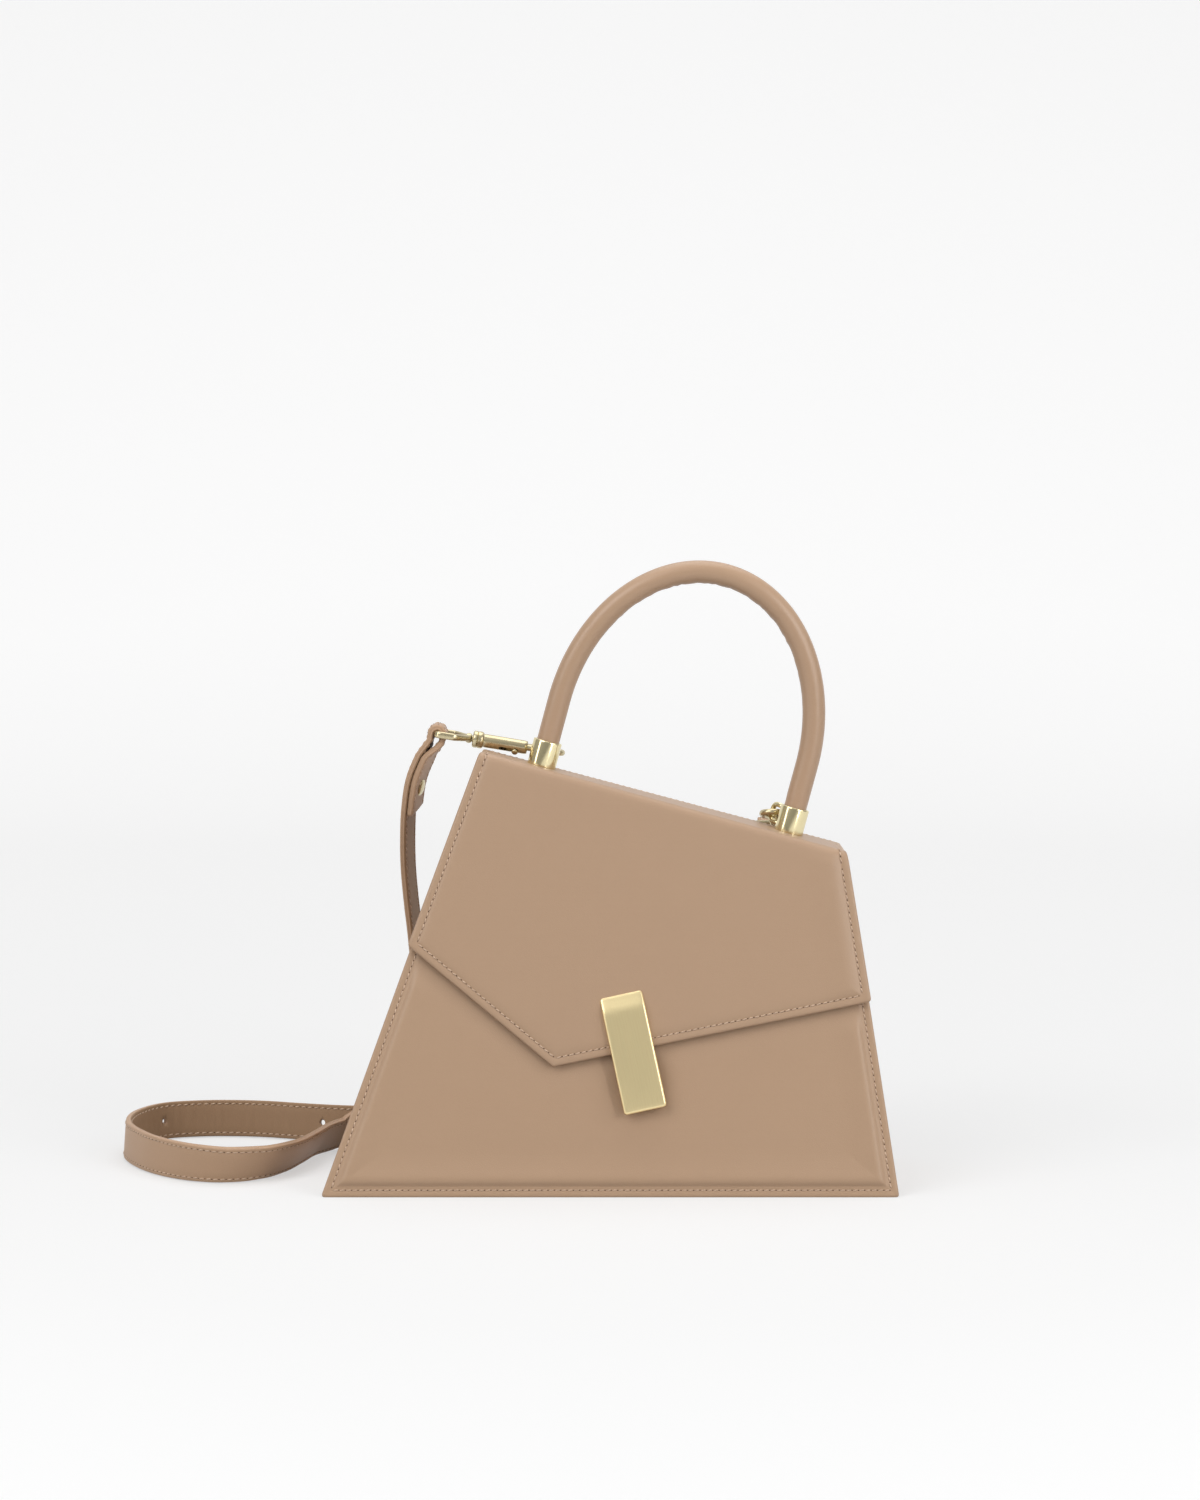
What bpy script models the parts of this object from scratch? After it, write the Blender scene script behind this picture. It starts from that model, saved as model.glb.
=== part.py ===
"""Top handle bag: an A-shaped leather body with a sloped top, a hinged flap with a brass
closure plate, a tubular handle in brass ferrules and a hooked-on shoulder strap.

The base stands on z = 0, the front faces -Y, and the taller end is at -X.
"""

import math

import bmesh
import bpy
from mathutils import Vector

# Body
BASE_WIDTH = 0.265
BASE_DEPTH = 0.100
CREST_LEFT_X = -0.0598
CREST_LEFT_Z = 0.2012
CREST_RIGHT_X = 0.1095
CREST_RIGHT_Z = 0.1555
CREST_LEFT_HALF_DEPTH = 0.012
PANEL_THICK = 0.0020
GUSSET_THICK = 0.0018
BORDER = 0.005
GAP = 0.0003
BOARD_THICK = 0.0010
BOARD_INSET = 0.009
LINING_THICK = 0.0008
BASE_LIFT = 0.005
GUSSET_FOOT = 0.0005
GUSSET_EDGE = 0.0003
MOUTH_DROP = 0.046
CORNER_RADIUS = 0.003
POCKET_WIDTH = 0.110
POCKET_HEIGHT = 0.062
POCKET_DEPTH = 0.003
POCKET_LOW = 0.070
POCKET_CENTRE = 0.005

# Flap
FLAP_INNER = 0.0004
FLAP_OUTER = 0.0040
FLAP_LINING_OUTER = 0.0010
FLAP_BOARD_INNER = 0.0013
FLAP_BOARD_OUTER = 0.0021
FLAP_LEATHER_INNER = 0.0024
FLAP_ROLL = 0.0018
ROLL_SKIN = 0.00003
FLAP_LEFT = (-0.0932, 0.1131)
FLAP_LOW = (-0.0262, 0.0585)
FLAP_RIGHT = (0.1202, 0.0878)
FLAP_TOP_LEFT_X = -0.0605
FLAP_TOP_RIGHT_X = 0.1097
FLAP_LINING_INSET = 0.0015
FLAP_BOARD_INSET = 0.0065
FLAP_LINING_DROP = 0.0040
FLAP_BOARD_DROP = 0.0070

# Closure
PLATE_TOP = (0.0048, 0.09105)
PLATE_BOTTOM = (0.01635, 0.0387)
PLATE_WIDTH = 0.0200
PLATE_INNER = 0.0043
PLATE_OUTER = 0.0072
PLATE_TIP = 0.0014
PLATE_BEVEL = 0.0009
BOSS_SHIFT = 0.0140
BOSS_RADIUS = 0.0070
BOSS_LOW = 0.0010
BOSS_HIGH = 0.0040
BOSS_FLOOR = 0.0034
BOSS_PEG_RADIUS = 0.0020
BOSS_PEG_TOP = 0.0057
PEG_HOLE_TOP = 0.0060
MAGNET_RADIUS = 0.0052
MAGNET_LOW = 0.0011
MAGNET_HIGH = 0.0031
CUP_RADIUS = 0.0055
WASHER_RADIUS = 0.0068
WASHER_LOW = 0.0003
WASHER_HIGH = 0.0006
SCREW_SHIFTS = (0.0090, 0.0200)
SCREW_HEAD_RADIUS = 0.0025
SCREW_SHANK_RADIUS = 0.0012
SCREW_HEAD_LOW = 0.0006
SCREW_HEAD_HIGH = 0.0012
SCREW_TIP = 0.0056
SCREW_HOLE_TOP = 0.0059

# Handle
LEFT_FERRULE_X = -0.0322
RIGHT_FERRULE_X = 0.0835
FERRULE_RADIUS = 0.00675
FERRULE_LOW = 0.0003
FERRULE_TOP = 0.0128
FERRULE_BORE = 0.0056
FERRULE_FLOOR = 0.0043
FERRULE_BEVEL = 0.0006
HANDLE_RADIUS = 0.0053
HANDLE_BORE = 0.0040
CORE_RADIUS = 0.0037
HANDLE_START = 0.0046
HANDLE_LEG_TOP = 0.033
HANDLE_RISE = 0.076
ANCHOR_RADIUS = 0.0015
ANCHOR_HOLE = 0.0018
ANCHOR_TIP = 0.0032
ANCHOR_HOLE_TOP = 0.0035
ANCHOR_HEAD_RADIUS = 0.0035
ANCHOR_HEAD_THICK = 0.0012
BACKING_THICK = 0.0012
BACKING_HALF_DEPTH = 0.0058
BACKING_OVERHANG = 0.010
STAPLE_WIRE = 0.0012
STAPLE_REACH = 0.0158
STAPLE_START = 0.0061
STAPLE_LOW = 0.0030
STAPLE_HIGH = 0.0112
STAPLE_BEND = 0.0014
LEFT_STAPLE_TURN = math.radians(90.0)
RIGHT_STAPLE_TURN = math.radians(124.7)

# Snap hooks, measured along the barrel from the eye end
HOOK_ARM_SHIFT = 0.0090
EYE_WIRE = 0.0013
EYE_BAR = 0.0013
EYE_HALF_WIDTH = 0.0108
EYE_SHOULDER = 0.0060
EYE_NECK = 0.0150
EYE_POST_RADIUS = 0.0015
EYE_POST_END = 0.0215
EYE_HEAD_START = 0.0200
EYE_HEAD_RADIUS = 0.0022
COLLAR_START = 0.0180
COLLAR_END = 0.0230
COLLAR_RADIUS = 0.0040
POST_HOLE = 0.0018
CHAMBER_START = 0.0195
CHAMBER_END = 0.0220
CHAMBER_RADIUS = 0.0026
BARREL_RADIUS = 0.0032
BARREL_END = 0.0440
BORE_START = 0.0240
BORE_RADIUS = 0.0018
GATE_RADIUS = 0.0015
GATE_START = 0.0345
GATE_TIP = 0.0546
KNOB_AT = 0.0385
KNOB_STEM = 0.0007
KNOB_RADIUS = 0.0015
KNOB_LOW = 0.0036
KNOB_HIGH = 0.0050
SLOT_HALF_WIDTH = 0.0010
SLOT_START = 0.0310
SLOT_END = 0.0395
HOOK_WIRE = 0.0015
HOOK_END = 0.0550
HOOK_TURN_AT = 0.0560
HOOK_BEND = 0.0045
HOOK_ROOT_AT = 0.0350
HOOK_ROOT_END = 0.0387
HOOK_ROOT_SHIFT = 0.0036
# How far the arm has gone from the barrel's end to its turn, and how far it has risen there.
HOOK_SWEEP_SHARES = ((-0.25, 0.21), (0.25, 0.79), (0.70, 1.0))
SPRING_WIRE = 0.0002
SPRING_RADIUS = 0.0013
SPRING_TURNS = 6
SPRING_START = 0.0244
SPRING_END = 0.0341
LEFT_BAR_AT = 0.0526
RIGHT_BAR_AT = 0.0560
LEFT_HOOK_DROP = 0.1658
RIGHT_HOOK_DROP = 0.2079
RIGHT_HOOK_SHIFT = -0.0007
HOOK_LEVEL = 0.0071

# Shoulder strap
STRAP_WIDTH = 0.0180
STRAP_THICK = 0.0028
STRAP_WRAP = EYE_BAR + GAP + STRAP_THICK / 2
STRAP_PLY = STRAP_THICK + GAP
TAIL_LENGTH = 0.040
STUD_AT = 0.027
STUD_POST_RADIUS = 0.0015
STUD_HOLE = 0.0020
STUD_HEAD_RADIUS = 0.0040
STUD_HEAD_THICK = 0.0012
ADJUST_HOLE = 0.0015
ADJUST_HOLE_XS = (-0.2223, -0.1422)
STRAP_TWIST = math.radians(12)

SLOPE = (BASE_DEPTH / 2 - CREST_LEFT_HALF_DEPTH) / CREST_LEFT_Z
LEAN = math.atan(SLOPE)
TOP_FALL = (CREST_LEFT_Z - CREST_RIGHT_Z) / (CREST_RIGHT_X - CREST_LEFT_X)
TILT = math.atan(TOP_FALL)
ROUND = 32
CORNER_STEPS = 5

MATERIALS = {
    "leather": ((0.46, 0.31, 0.21, 1), 0.0, 0.5),
    "lining": ((0.42, 0.30, 0.20, 1), 0.0, 0.9),
    "board": ((0.35, 0.27, 0.18, 1), 0.0, 0.9),
    "brass": ((0.78, 0.62, 0.36, 1), 1.0, 0.3),
    "steel": ((0.6, 0.6, 0.62, 1), 1.0, 0.35),
    "rope": ((0.75, 0.68, 0.55, 1), 0.0, 0.9),
}


def clear_scene():
    for item in list(bpy.data.objects):
        bpy.data.objects.remove(item, do_unlink=True)
    for mesh in list(bpy.data.meshes):
        bpy.data.meshes.remove(mesh)


def material(node, kind):
    colour, metal, rough = MATERIALS[kind]
    result = bpy.data.materials.new(node + "_" + kind)
    result.use_nodes = True
    shader = result.node_tree.nodes["Principled BSDF"]
    shader.inputs["Base Color"].default_value = colour
    shader.inputs["Metallic"].default_value = metal
    shader.inputs["Roughness"].default_value = rough
    return result


def finish(bm, name, kind):
    """Turn a bmesh into an object with outward faces and a material of its own."""
    bmesh.ops.recalc_face_normals(bm, faces=bm.faces)
    mesh = bpy.data.meshes.new(name)
    bm.to_mesh(mesh)
    bm.free()
    item = bpy.data.objects.new(name, mesh)
    bpy.context.scene.collection.objects.link(item)
    item.data.materials.append(material(name, kind))
    return item


def loft(name, rings, kind, closed_ring=False):
    """Skin a list of matching rings of points; the two ends are capped or joined."""
    bm = bmesh.new()
    rows = [[bm.verts.new(p) for p in ring] for ring in rings]
    count = len(rings[0])
    pairs = list(zip(rows, rows[1:]))
    if closed_ring:
        pairs.append((rows[-1], rows[0]))
    for low, high in pairs:
        for i in range(count):
            j = (i + 1) % count
            bm.faces.new((low[i], low[j], high[j], high[i]))
    if not closed_ring:
        bm.faces.new(list(reversed(rows[0])))
        bm.faces.new(rows[-1])
    return finish(bm, name, kind)


class Frame:
    """A flat frame: u and v lie in the plane, n is the way it faces."""

    def __init__(self, origin, u, v):
        self.origin = Vector(origin)
        self.u = Vector(u).normalized()
        self.v = Vector(v).normalized()
        self.n = self.u.cross(self.v)

    def at(self, u, v, n=0.0):
        return self.origin + self.u * u + self.v * v + self.n * n


FRONT = Frame((0, -BASE_DEPTH / 2, 0), (1, 0, 0), (0, math.sin(LEAN), math.cos(LEAN)))
BACK = Frame((0, BASE_DEPTH / 2, 0), (-1, 0, 0), (0, -math.sin(LEAN), math.cos(LEAN)))
TOP = Frame((CREST_LEFT_X, 0, CREST_LEFT_Z), (math.cos(TILT), 0, -math.sin(TILT)), (0, 1, 0))


def rounded(points, radius, steps=CORNER_STEPS):
    """Round every corner of a flat outline."""
    result = []
    count = len(points)
    for i in range(count):
        here = Vector(points[i])
        back = (Vector(points[i - 1]) - here).normalized()
        ahead = (Vector(points[(i + 1) % count]) - here).normalized()
        reach = radius / math.tan(back.angle(ahead) / 2)
        first, last = here + back * reach, here + ahead * reach
        for k in range(steps + 1):
            t = k / steps
            bend = first * (1 - t) ** 2 + here * (2 * t * (1 - t)) + last * t**2
            result.append((bend.x, bend.y))
    return result


def inset(points, amount):
    """Move every side of a convex outline, given anticlockwise, inwards."""
    lines = []
    count = len(points)
    for i in range(count):
        a, b = Vector(points[i]), Vector(points[(i + 1) % count])
        way = (b - a).normalized()
        lines.append((a + Vector((-way.y, way.x)) * amount, way))
    result = []
    for i in range(count):
        (p, d), (q, e) = lines[i - 1], lines[i]
        cross = d.x * e.y - d.y * e.x
        t = ((q - p).x * e.y - (q - p).y * e.x) / cross
        result.append(tuple(p + d * t))
    return result


def slab(name, frame, outline, low, high, kind):
    return loft(name, [[frame.at(u, v, n) for u, v in outline] for n in (low, high)], kind)


def standing(name, frame, outline, low, high, kind):
    """A slab whose bottom points, at v = 0, are brought level with z = 0."""
    rings = []
    for n in (low, high):
        rings.append([frame.at(u, v if v else -n * math.tan(LEAN), n) for u, v in outline])
    return loft(name, rings, kind)


def circle(centre, a, b, radius, sides=ROUND):
    turn = [2 * math.pi * i / sides for i in range(sides)]
    return [centre + a * (radius * math.cos(t)) + b * (radius * math.sin(t)) for t in turn]


def cylinder(name, start, end, radius, kind, sides=ROUND):
    way = (end - start).normalized()
    a = way.orthogonal().normalized()
    b = way.cross(a)
    return loft(name, [circle(p, a, b, radius, sides) for p in (start, end)], kind)


def revolve(name, start, way, profile, kind, sides=ROUND):
    """Turn a closed profile of (distance along, radius) points about a line."""
    way = way.normalized()
    a = way.orthogonal().normalized()
    b = way.cross(a)
    bm = bmesh.new()
    rows = []
    for along, radius in profile:
        centre = start + way * along
        if radius == 0:
            rows.append([bm.verts.new(centre)])
        else:
            rows.append([bm.verts.new(p) for p in circle(centre, a, b, radius, sides)])
    for low, high in zip(rows, rows[1:] + rows[:1]):
        for i in range(sides):
            j = (i + 1) % sides
            face = [low[i % len(low)], low[j % len(low)], high[j % len(high)], high[i % len(high)]]
            face = list(dict.fromkeys(face))
            if len(face) > 2:
                bm.faces.new(face)
    return finish(bm, name, kind)


def carried(points):
    """Directions along a path, and a sideways direction carried along it without twist."""
    ways = []
    for i in range(len(points)):
        low, high = max(i - 1, 0), min(i + 1, len(points) - 1)
        ways.append((points[high] - points[low]).normalized())
    side = ways[0].orthogonal().normalized()
    sides = []
    for way in ways:
        side = (side - way * side.dot(way)).normalized()
        sides.append(side.copy())
    return ways, sides


def wire(name, points, radius, kind, sides=16, bore=0.0):
    """A round rod along a path, or a tube when it has a bore."""
    ways, across = carried(points)
    rings = [circle(p, s, w.cross(s), radius, sides) for p, w, s in zip(points, ways, across)]
    if not bore:
        return loft(name, rings, kind)
    inner = [circle(p, s, w.cross(s), bore, sides) for p, w, s in zip(points, ways, across)]
    return loft(name, rings + inner[::-1], kind, closed_ring=True)


def smooth(points, step=6):
    """A curve through the given points that doesn't overshoot where they lie close together."""
    ends = [points[0] * 2 - points[1], points[-1] * 2 - points[-2]]
    points = [ends[0], *points, ends[1]]
    result = []
    for p0, p1, p2, p3 in zip(points, points[1:], points[2:], points[3:]):
        t1 = (p1 - p0).length ** 0.5
        t2 = t1 + (p2 - p1).length ** 0.5
        t3 = t2 + (p3 - p2).length ** 0.5
        for k in range(step):
            t = t1 + (t2 - t1) * k / step
            a = p0 * ((t1 - t) / t1) + p1 * (t / t1)
            b = p1 * ((t2 - t) / (t2 - t1)) + p2 * ((t - t1) / (t2 - t1))
            c = p2 * ((t3 - t) / (t3 - t2)) + p3 * ((t - t2) / (t3 - t2))
            low = a * ((t2 - t) / t2) + b * (t / t2)
            high = b * ((t3 - t) / (t3 - t1)) + c * ((t - t1) / (t3 - t1))
            result.append(low * ((t2 - t) / (t2 - t1)) + high * ((t - t1) / (t2 - t1)))
    result.append(points[-2].copy())
    return result


def between(values, step):
    """Directions eased evenly between the given ones, to match smooth."""
    result = []
    for a, b in zip(values, values[1:]):
        for k in range(step):
            t = k / step
            result.append((a * (1 - t) + b * t).normalized())
    result.append(values[-1].copy())
    return result


def combine(item, other, how):
    """Cut the other solid from an item, or add it, and drop the other solid."""
    step = item.modifiers.new("combine", "BOOLEAN")
    step.operation = how
    step.solver = "EXACT"
    step.object = other
    graph = bpy.context.evaluated_depsgraph_get()
    graph.update()
    mesh = bpy.data.meshes.new_from_object(item.evaluated_get(graph))
    item.modifiers.clear()
    old = item.data
    kept = old.materials[0]
    item.data = mesh
    mesh.materials.clear()
    mesh.materials.append(kept)
    for face in mesh.polygons:
        face.material_index = 0
    bpy.data.meshes.remove(old)
    bpy.data.objects.remove(other, do_unlink=True)
    mesh.name = item.name
    return item


def drill(item, start, end, radius, sides=ROUND):
    return combine(item, cylinder("drill", start, end, radius, "steel", sides), "DIFFERENCE")


def soften(item, width, pick):
    """Bevel the edges that the pick function chooses."""
    bm = bmesh.new()
    bm.from_mesh(item.data)
    edges = [e for e in bm.edges if pick(e)]
    bmesh.ops.bevel(bm, geom=edges, offset=width, segments=3, profile=0.5, affect="EDGES")
    bm.to_mesh(item.data)
    bm.free()
    return item


def left_edge(z):
    return -BASE_WIDTH / 2 + (CREST_LEFT_X + BASE_WIDTH / 2) * z / CREST_LEFT_Z


def right_edge(z):
    return BASE_WIDTH / 2 + (CREST_RIGHT_X - BASE_WIDTH / 2) * z / CREST_RIGHT_Z


def face_y(z, depth_in=0.0):
    """Half depth of the body at a height, less a thickness measured square to the panel."""
    return BASE_DEPTH / 2 - SLOPE * z - depth_in / math.cos(LEAN)


def to_top(a, b, drop):
    """Where the line through two points meets the plane a little under the top."""
    plane = TOP.at(0, 0, -drop)
    part = (plane - a).dot(TOP.n) / (b - a).dot(TOP.n)
    return a + (b - a) * part


def on_front(point):
    """Outline coordinates on the front panel of a point given as x and z."""
    return (point[0], point[1] / math.cos(LEAN))


def top_z(x):
    return CREST_LEFT_Z - TOP_FALL * (x - CREST_LEFT_X)


def body_panels():
    """Front and back panels, the two folded gussets, the base and the sloped top."""
    cos = math.cos(LEAN)
    left_low, left_high = Vector((left_edge(0), 0)), Vector((CREST_LEFT_X, CREST_LEFT_Z / cos))
    right_low, right_high = Vector((right_edge(0), 0)), Vector((CREST_RIGHT_X, CREST_RIGHT_Z / cos))
    fall = MOUTH_DROP / cos
    mouth = [side_meets(left_low, left_high, left_high, right_high, fall),
             side_meets(right_low, right_high, left_high, right_high, fall)]
    outline = [tuple(left_low), tuple(right_low), mouth[1], mouth[0]]
    upper = rounded(outline, CORNER_RADIUS)[2 * (CORNER_STEPS + 1):]
    standing("front_panel", FRONT, outline[:2] + upper, -PANEL_THICK, 0, "leather")
    under = (PANEL_THICK + GAP) / math.cos(TILT) / cos
    high = [side_meets(left_low, left_high, left_high, right_high, under),
            side_meets(right_low, right_high, left_high, right_high, under)]
    outline = [tuple(left_low), tuple(right_low), high[1], high[0]]
    outline = [(-x, v) for x, v in reversed(outline)]
    standing("back_panel", BACK, outline, -PANEL_THICK, 0, "leather")
    gusset("left_gusset", left_edge, 1)
    gusset("right_gusset", right_edge, -1)
    base()
    length = (CREST_RIGHT_X - CREST_LEFT_X) / math.cos(TILT)
    near, far = face_y(CREST_LEFT_Z), face_y(CREST_RIGHT_Z)
    outline = [(0, -near), (length, -far), (length, far), (0, near)]
    top = slab("top_panel", TOP, outline, -PANEL_THICK, 0, "leather")
    backing = [(ferrule_u(LEFT_FERRULE_X) - BACKING_OVERHANG, -BACKING_HALF_DEPTH),
               (ferrule_u(RIGHT_FERRULE_X) + BACKING_OVERHANG, -BACKING_HALF_DEPTH),
               (ferrule_u(RIGHT_FERRULE_X) + BACKING_OVERHANG, BACKING_HALF_DEPTH),
               (ferrule_u(LEFT_FERRULE_X) - BACKING_OVERHANG, BACKING_HALF_DEPTH)]
    plate_high = -PANEL_THICK - GAP
    plate_low = plate_high - BACKING_THICK
    backing = rounded(backing, CORNER_RADIUS)
    plate = slab("handle_backing_plate", TOP, backing, plate_low, plate_high, "steel")
    for x in (LEFT_FERRULE_X, RIGHT_FERRULE_X):
        u = ferrule_u(x)
        drill(top, TOP.at(u, 0, -FERRULE_TOP), TOP.at(u, 0, FERRULE_TOP), ANCHOR_HOLE)
        drill(plate, TOP.at(u, 0, -FERRULE_TOP), TOP.at(u, 0, FERRULE_TOP), ANCHOR_HOLE)


def side_meets(low, high, left, right, fall):
    """Where a side edge meets a line that runs a set drop under the top edge."""
    d, e = high - low, right - left
    start = left - Vector((0, fall))
    t = ((start - low).x * e.y - (start - low).y * e.x) / (d.x * e.y - d.y * e.x)
    return tuple(low + d * t)


def ferrule_u(x):
    return (x - CREST_LEFT_X) / math.cos(TILT)


def gusset(name, edge, sign):
    """A side panel set in from the panel edges, with its two long edges turned outwards."""
    rings = []
    for z in (GUSSET_FOOT, CREST_RIGHT_Z):
        outer = face_y(z, PANEL_THICK + GAP)
        inner = face_y(z, PANEL_THICK + GAP + GUSSET_THICK)
        rim = edge(z) + sign * GUSSET_EDGE
        wall = edge(z) + sign * BORDER
        deep = edge(z) + sign * (BORDER + GUSSET_THICK)
        flat = [(rim, -outer), (deep, -outer), (deep, outer), (rim, outer),
                (rim, inner), (wall, inner), (wall, -inner), (rim, -inner)]
        rings.append([Vector((x, y, z)) for x, y in flat])
    drop = PANEL_THICK + GAP
    rings[1] = [to_top(a, b, drop) for a, b in zip(*rings)]
    return loft(name, rings, "leather")


def base():
    """The bottom, held up between the panels by its two turned-down edges."""
    under, over = BASE_LIFT, BASE_LIFT + PANEL_THICK
    clear = BORDER + GUSSET_THICK + GAP
    flat = []
    for side in (-1, 1):
        part = [(GUSSET_FOOT, 0), (GUSSET_FOOT, 1), (under, 1)]
        edge = []
        for z, deeper in part:
            depth = PANEL_THICK + GAP + deeper * GUSSET_THICK
            edge.append((side * face_y(z, depth), z))
        edge = edge if side < 0 else edge[::-1]
        flat += edge
    flat += [(face_y(over, PANEL_THICK + GAP), over), (-face_y(over, PANEL_THICK + GAP), over)]
    rings = [[Vector((left_edge(over) + clear, y, z)) for y, z in flat],
             [Vector((right_edge(z) - clear, y, z)) for y, z in flat]]
    return loft("base_panel", rings, "leather")


def boards():
    """Stiffening boards behind the front and back panels and on the base."""
    cos = math.cos(LEAN)
    low = BASE_LIFT + PANEL_THICK + GAP
    high, thin = -PANEL_THICK - GAP, -PANEL_THICK - GAP - BOARD_THICK
    for name, frame, drop in (("front_board", FRONT, MOUTH_DROP + BORDER),
                              ("back_board", BACK, BORDER)):
        foot = low + BOARD_THICK
        corners = [(left_edge(foot) + BOARD_INSET, foot), (right_edge(foot) - BOARD_INSET, foot)]
        right_at, left_at = CREST_RIGHT_Z - drop, CREST_LEFT_Z - drop
        corners += [(right_edge(right_at) - BOARD_INSET, right_at),
                    (left_edge(left_at) + BOARD_INSET, left_at)]
        outline = [(x, z / cos) for x, z in corners]
        if frame is BACK:
            outline = [(-x, v) for x, v in reversed(outline)]
        item = slab(name, frame, rounded(outline, CORNER_RADIUS), thin, high, "board")
        if frame is FRONT:
            u, v = boss_place()
            drill(item, FRONT.at(u, v, -BORDER), FRONT.at(u, v, BORDER), MAGNET_RADIUS + GAP)
    rings = []
    clear = BORDER + GUSSET_THICK + GAP
    for z in (low, low + BOARD_THICK):
        y = face_y(z, PANEL_THICK + GAP + BOARD_THICK + GAP)
        x0, x1 = left_edge(z) + clear, right_edge(z) - clear
        rings.append([Vector(p) for p in ((x0, -y, z), (x1, -y, z), (x1, y, z), (x0, y, z))])
    loft("base_board", rings, "board")


def bag_solid(name, grow, low, drop):
    """The hollow's own shape, pushed out or in by an amount; it ends a little under the top."""
    depth = PANEL_THICK + GAP + GUSSET_THICK + GAP - grow
    clear = BORDER + GUSSET_THICK + GAP - grow
    rings = []
    for z in (low, CREST_RIGHT_Z):
        y = face_y(z, depth)
        x0, x1 = left_edge(z) + clear, right_edge(z) - clear
        rings.append([Vector(p) for p in ((x0, -y, z), (x1, -y, z), (x1, y, z), (x0, y, z))])
    rings[1] = [to_top(a, b, drop) for a, b in zip(*rings)]
    return loft(name, rings, "lining")


def lining():
    """A thin bag inside the boards, cut low at the front, and a pocket on its back wall."""
    low = BASE_LIFT + PANEL_THICK + GAP + BOARD_THICK + GAP
    drop = PANEL_THICK + GAP
    item = bag_solid("lining", 0, low, drop)
    combine(item, bag_solid("hollow", -LINING_THICK, low + LINING_THICK, -drop), "DIFFERENCE")
    depth = PANEL_THICK + GAP + GUSSET_THICK + GAP + LINING_THICK + GAP
    cos = math.cos(LEAN)
    left, right = CREST_LEFT_Z - MOUTH_DROP, CREST_RIGHT_Z - MOUTH_DROP
    run = (CREST_RIGHT_X - CREST_LEFT_X)
    lift = (left - right) / run * BASE_DEPTH
    outline = [(CREST_LEFT_X - BASE_DEPTH, (left + lift) / cos),
               (CREST_RIGHT_X + BASE_DEPTH, (right - lift) / cos),
               (CREST_RIGHT_X + BASE_DEPTH, BASE_WIDTH),
               (CREST_LEFT_X - BASE_DEPTH, BASE_WIDTH)]
    combine(item, slab("mouth", FRONT, outline, -depth, BASE_DEPTH, "lining"), "DIFFERENCE")
    half = POCKET_WIDTH / 2
    outline = [(POCKET_CENTRE - half, POCKET_LOW),
               (POCKET_CENTRE + half, POCKET_LOW),
               (POCKET_CENTRE + half, POCKET_LOW + POCKET_HEIGHT),
               (POCKET_CENTRE - half, POCKET_LOW + POCKET_HEIGHT)]
    outline = [(-x, v) for x, v in reversed(outline)]
    wall = -depth
    pocket = slab("inner_pocket", BACK, outline, wall - POCKET_DEPTH, wall, "lining")
    hollow = [(u * (1 - 2 * LINING_THICK / POCKET_WIDTH), v + LINING_THICK) for u, v in outline]
    deep, shallow = wall - POCKET_DEPTH + LINING_THICK, wall - LINING_THICK
    combine(pocket, slab("hollow", BACK, hollow, deep, shallow, "lining"), "DIFFERENCE")


def flap_outline():
    """Corners of the flap on the front plane, from the hinge line down, anticlockwise."""
    top_left = on_front((FLAP_TOP_LEFT_X, top_z(FLAP_TOP_LEFT_X)))
    top_right = on_front((FLAP_TOP_RIGHT_X, top_z(FLAP_TOP_RIGHT_X)))
    return [top_left, on_front(FLAP_LEFT), on_front(FLAP_LOW), on_front(FLAP_RIGHT), top_right]


def hinge_line(drop):
    """The flap's side edges at a distance under the crest: two outline points."""
    points = [Vector(p) for p in flap_outline()]
    way = (points[4] - points[0]).normalized()
    down = Vector((way.y, -way.x))
    result = []
    for top, low in ((points[0], points[1]), (points[4], points[3])):
        d = (low - top).normalized()
        result.append(tuple(top + d * (drop / d.dot(down))))
    return result


def flap():
    """Leather outside, board, and lining; the leather ends in a roll about the hinge line."""
    corners = flap_outline()
    mid = (FLAP_INNER + FLAP_OUTER) / 2
    left, right = hinge_line(FLAP_ROLL)
    whole = rounded([left] + corners[1:4] + [right], CORNER_RADIUS)
    outline = [left] + whole[CORNER_STEPS + 1:-CORNER_STEPS - 1] + [right]
    leather = slab("flap_leather", FRONT, outline, FLAP_LEATHER_INNER, FLAP_OUTER, "leather")
    start, end = FRONT.at(*left, mid), FRONT.at(*right, mid)
    trim = (end - start).normalized() * GAP
    roll = cylinder("roll", start + trim, end - trim, FLAP_ROLL + ROLL_SKIN, "leather", 26)
    combine(leather, roll, "UNION")
    parts = [leather]
    for name, edge, drop, inner, outer, kind in (
        ("flap_board", FLAP_BOARD_INSET, FLAP_BOARD_DROP, FLAP_BOARD_INNER, FLAP_BOARD_OUTER, "board"),
        ("flap_lining", FLAP_LINING_INSET, FLAP_LINING_DROP, FLAP_INNER, FLAP_LINING_OUTER, "leather"),
    ):
        left, right = hinge_line(drop)
        shape = inset([left] + corners[1:4] + [right], edge)
        parts.append(slab(name, FRONT, rounded(shape, CORNER_RADIUS), inner, outer, kind))
    return parts


def plate_point(shift):
    """A point on the middle line of the closure plate, measured down from its centre."""
    a, b = Vector(on_front(PLATE_TOP)), Vector(on_front(PLATE_BOTTOM))
    way = (b - a).normalized()
    return (a + b) / 2 + way * shift, way


def boss_place():
    point, _ = plate_point(BOSS_SHIFT)
    return point.x, point.y


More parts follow.
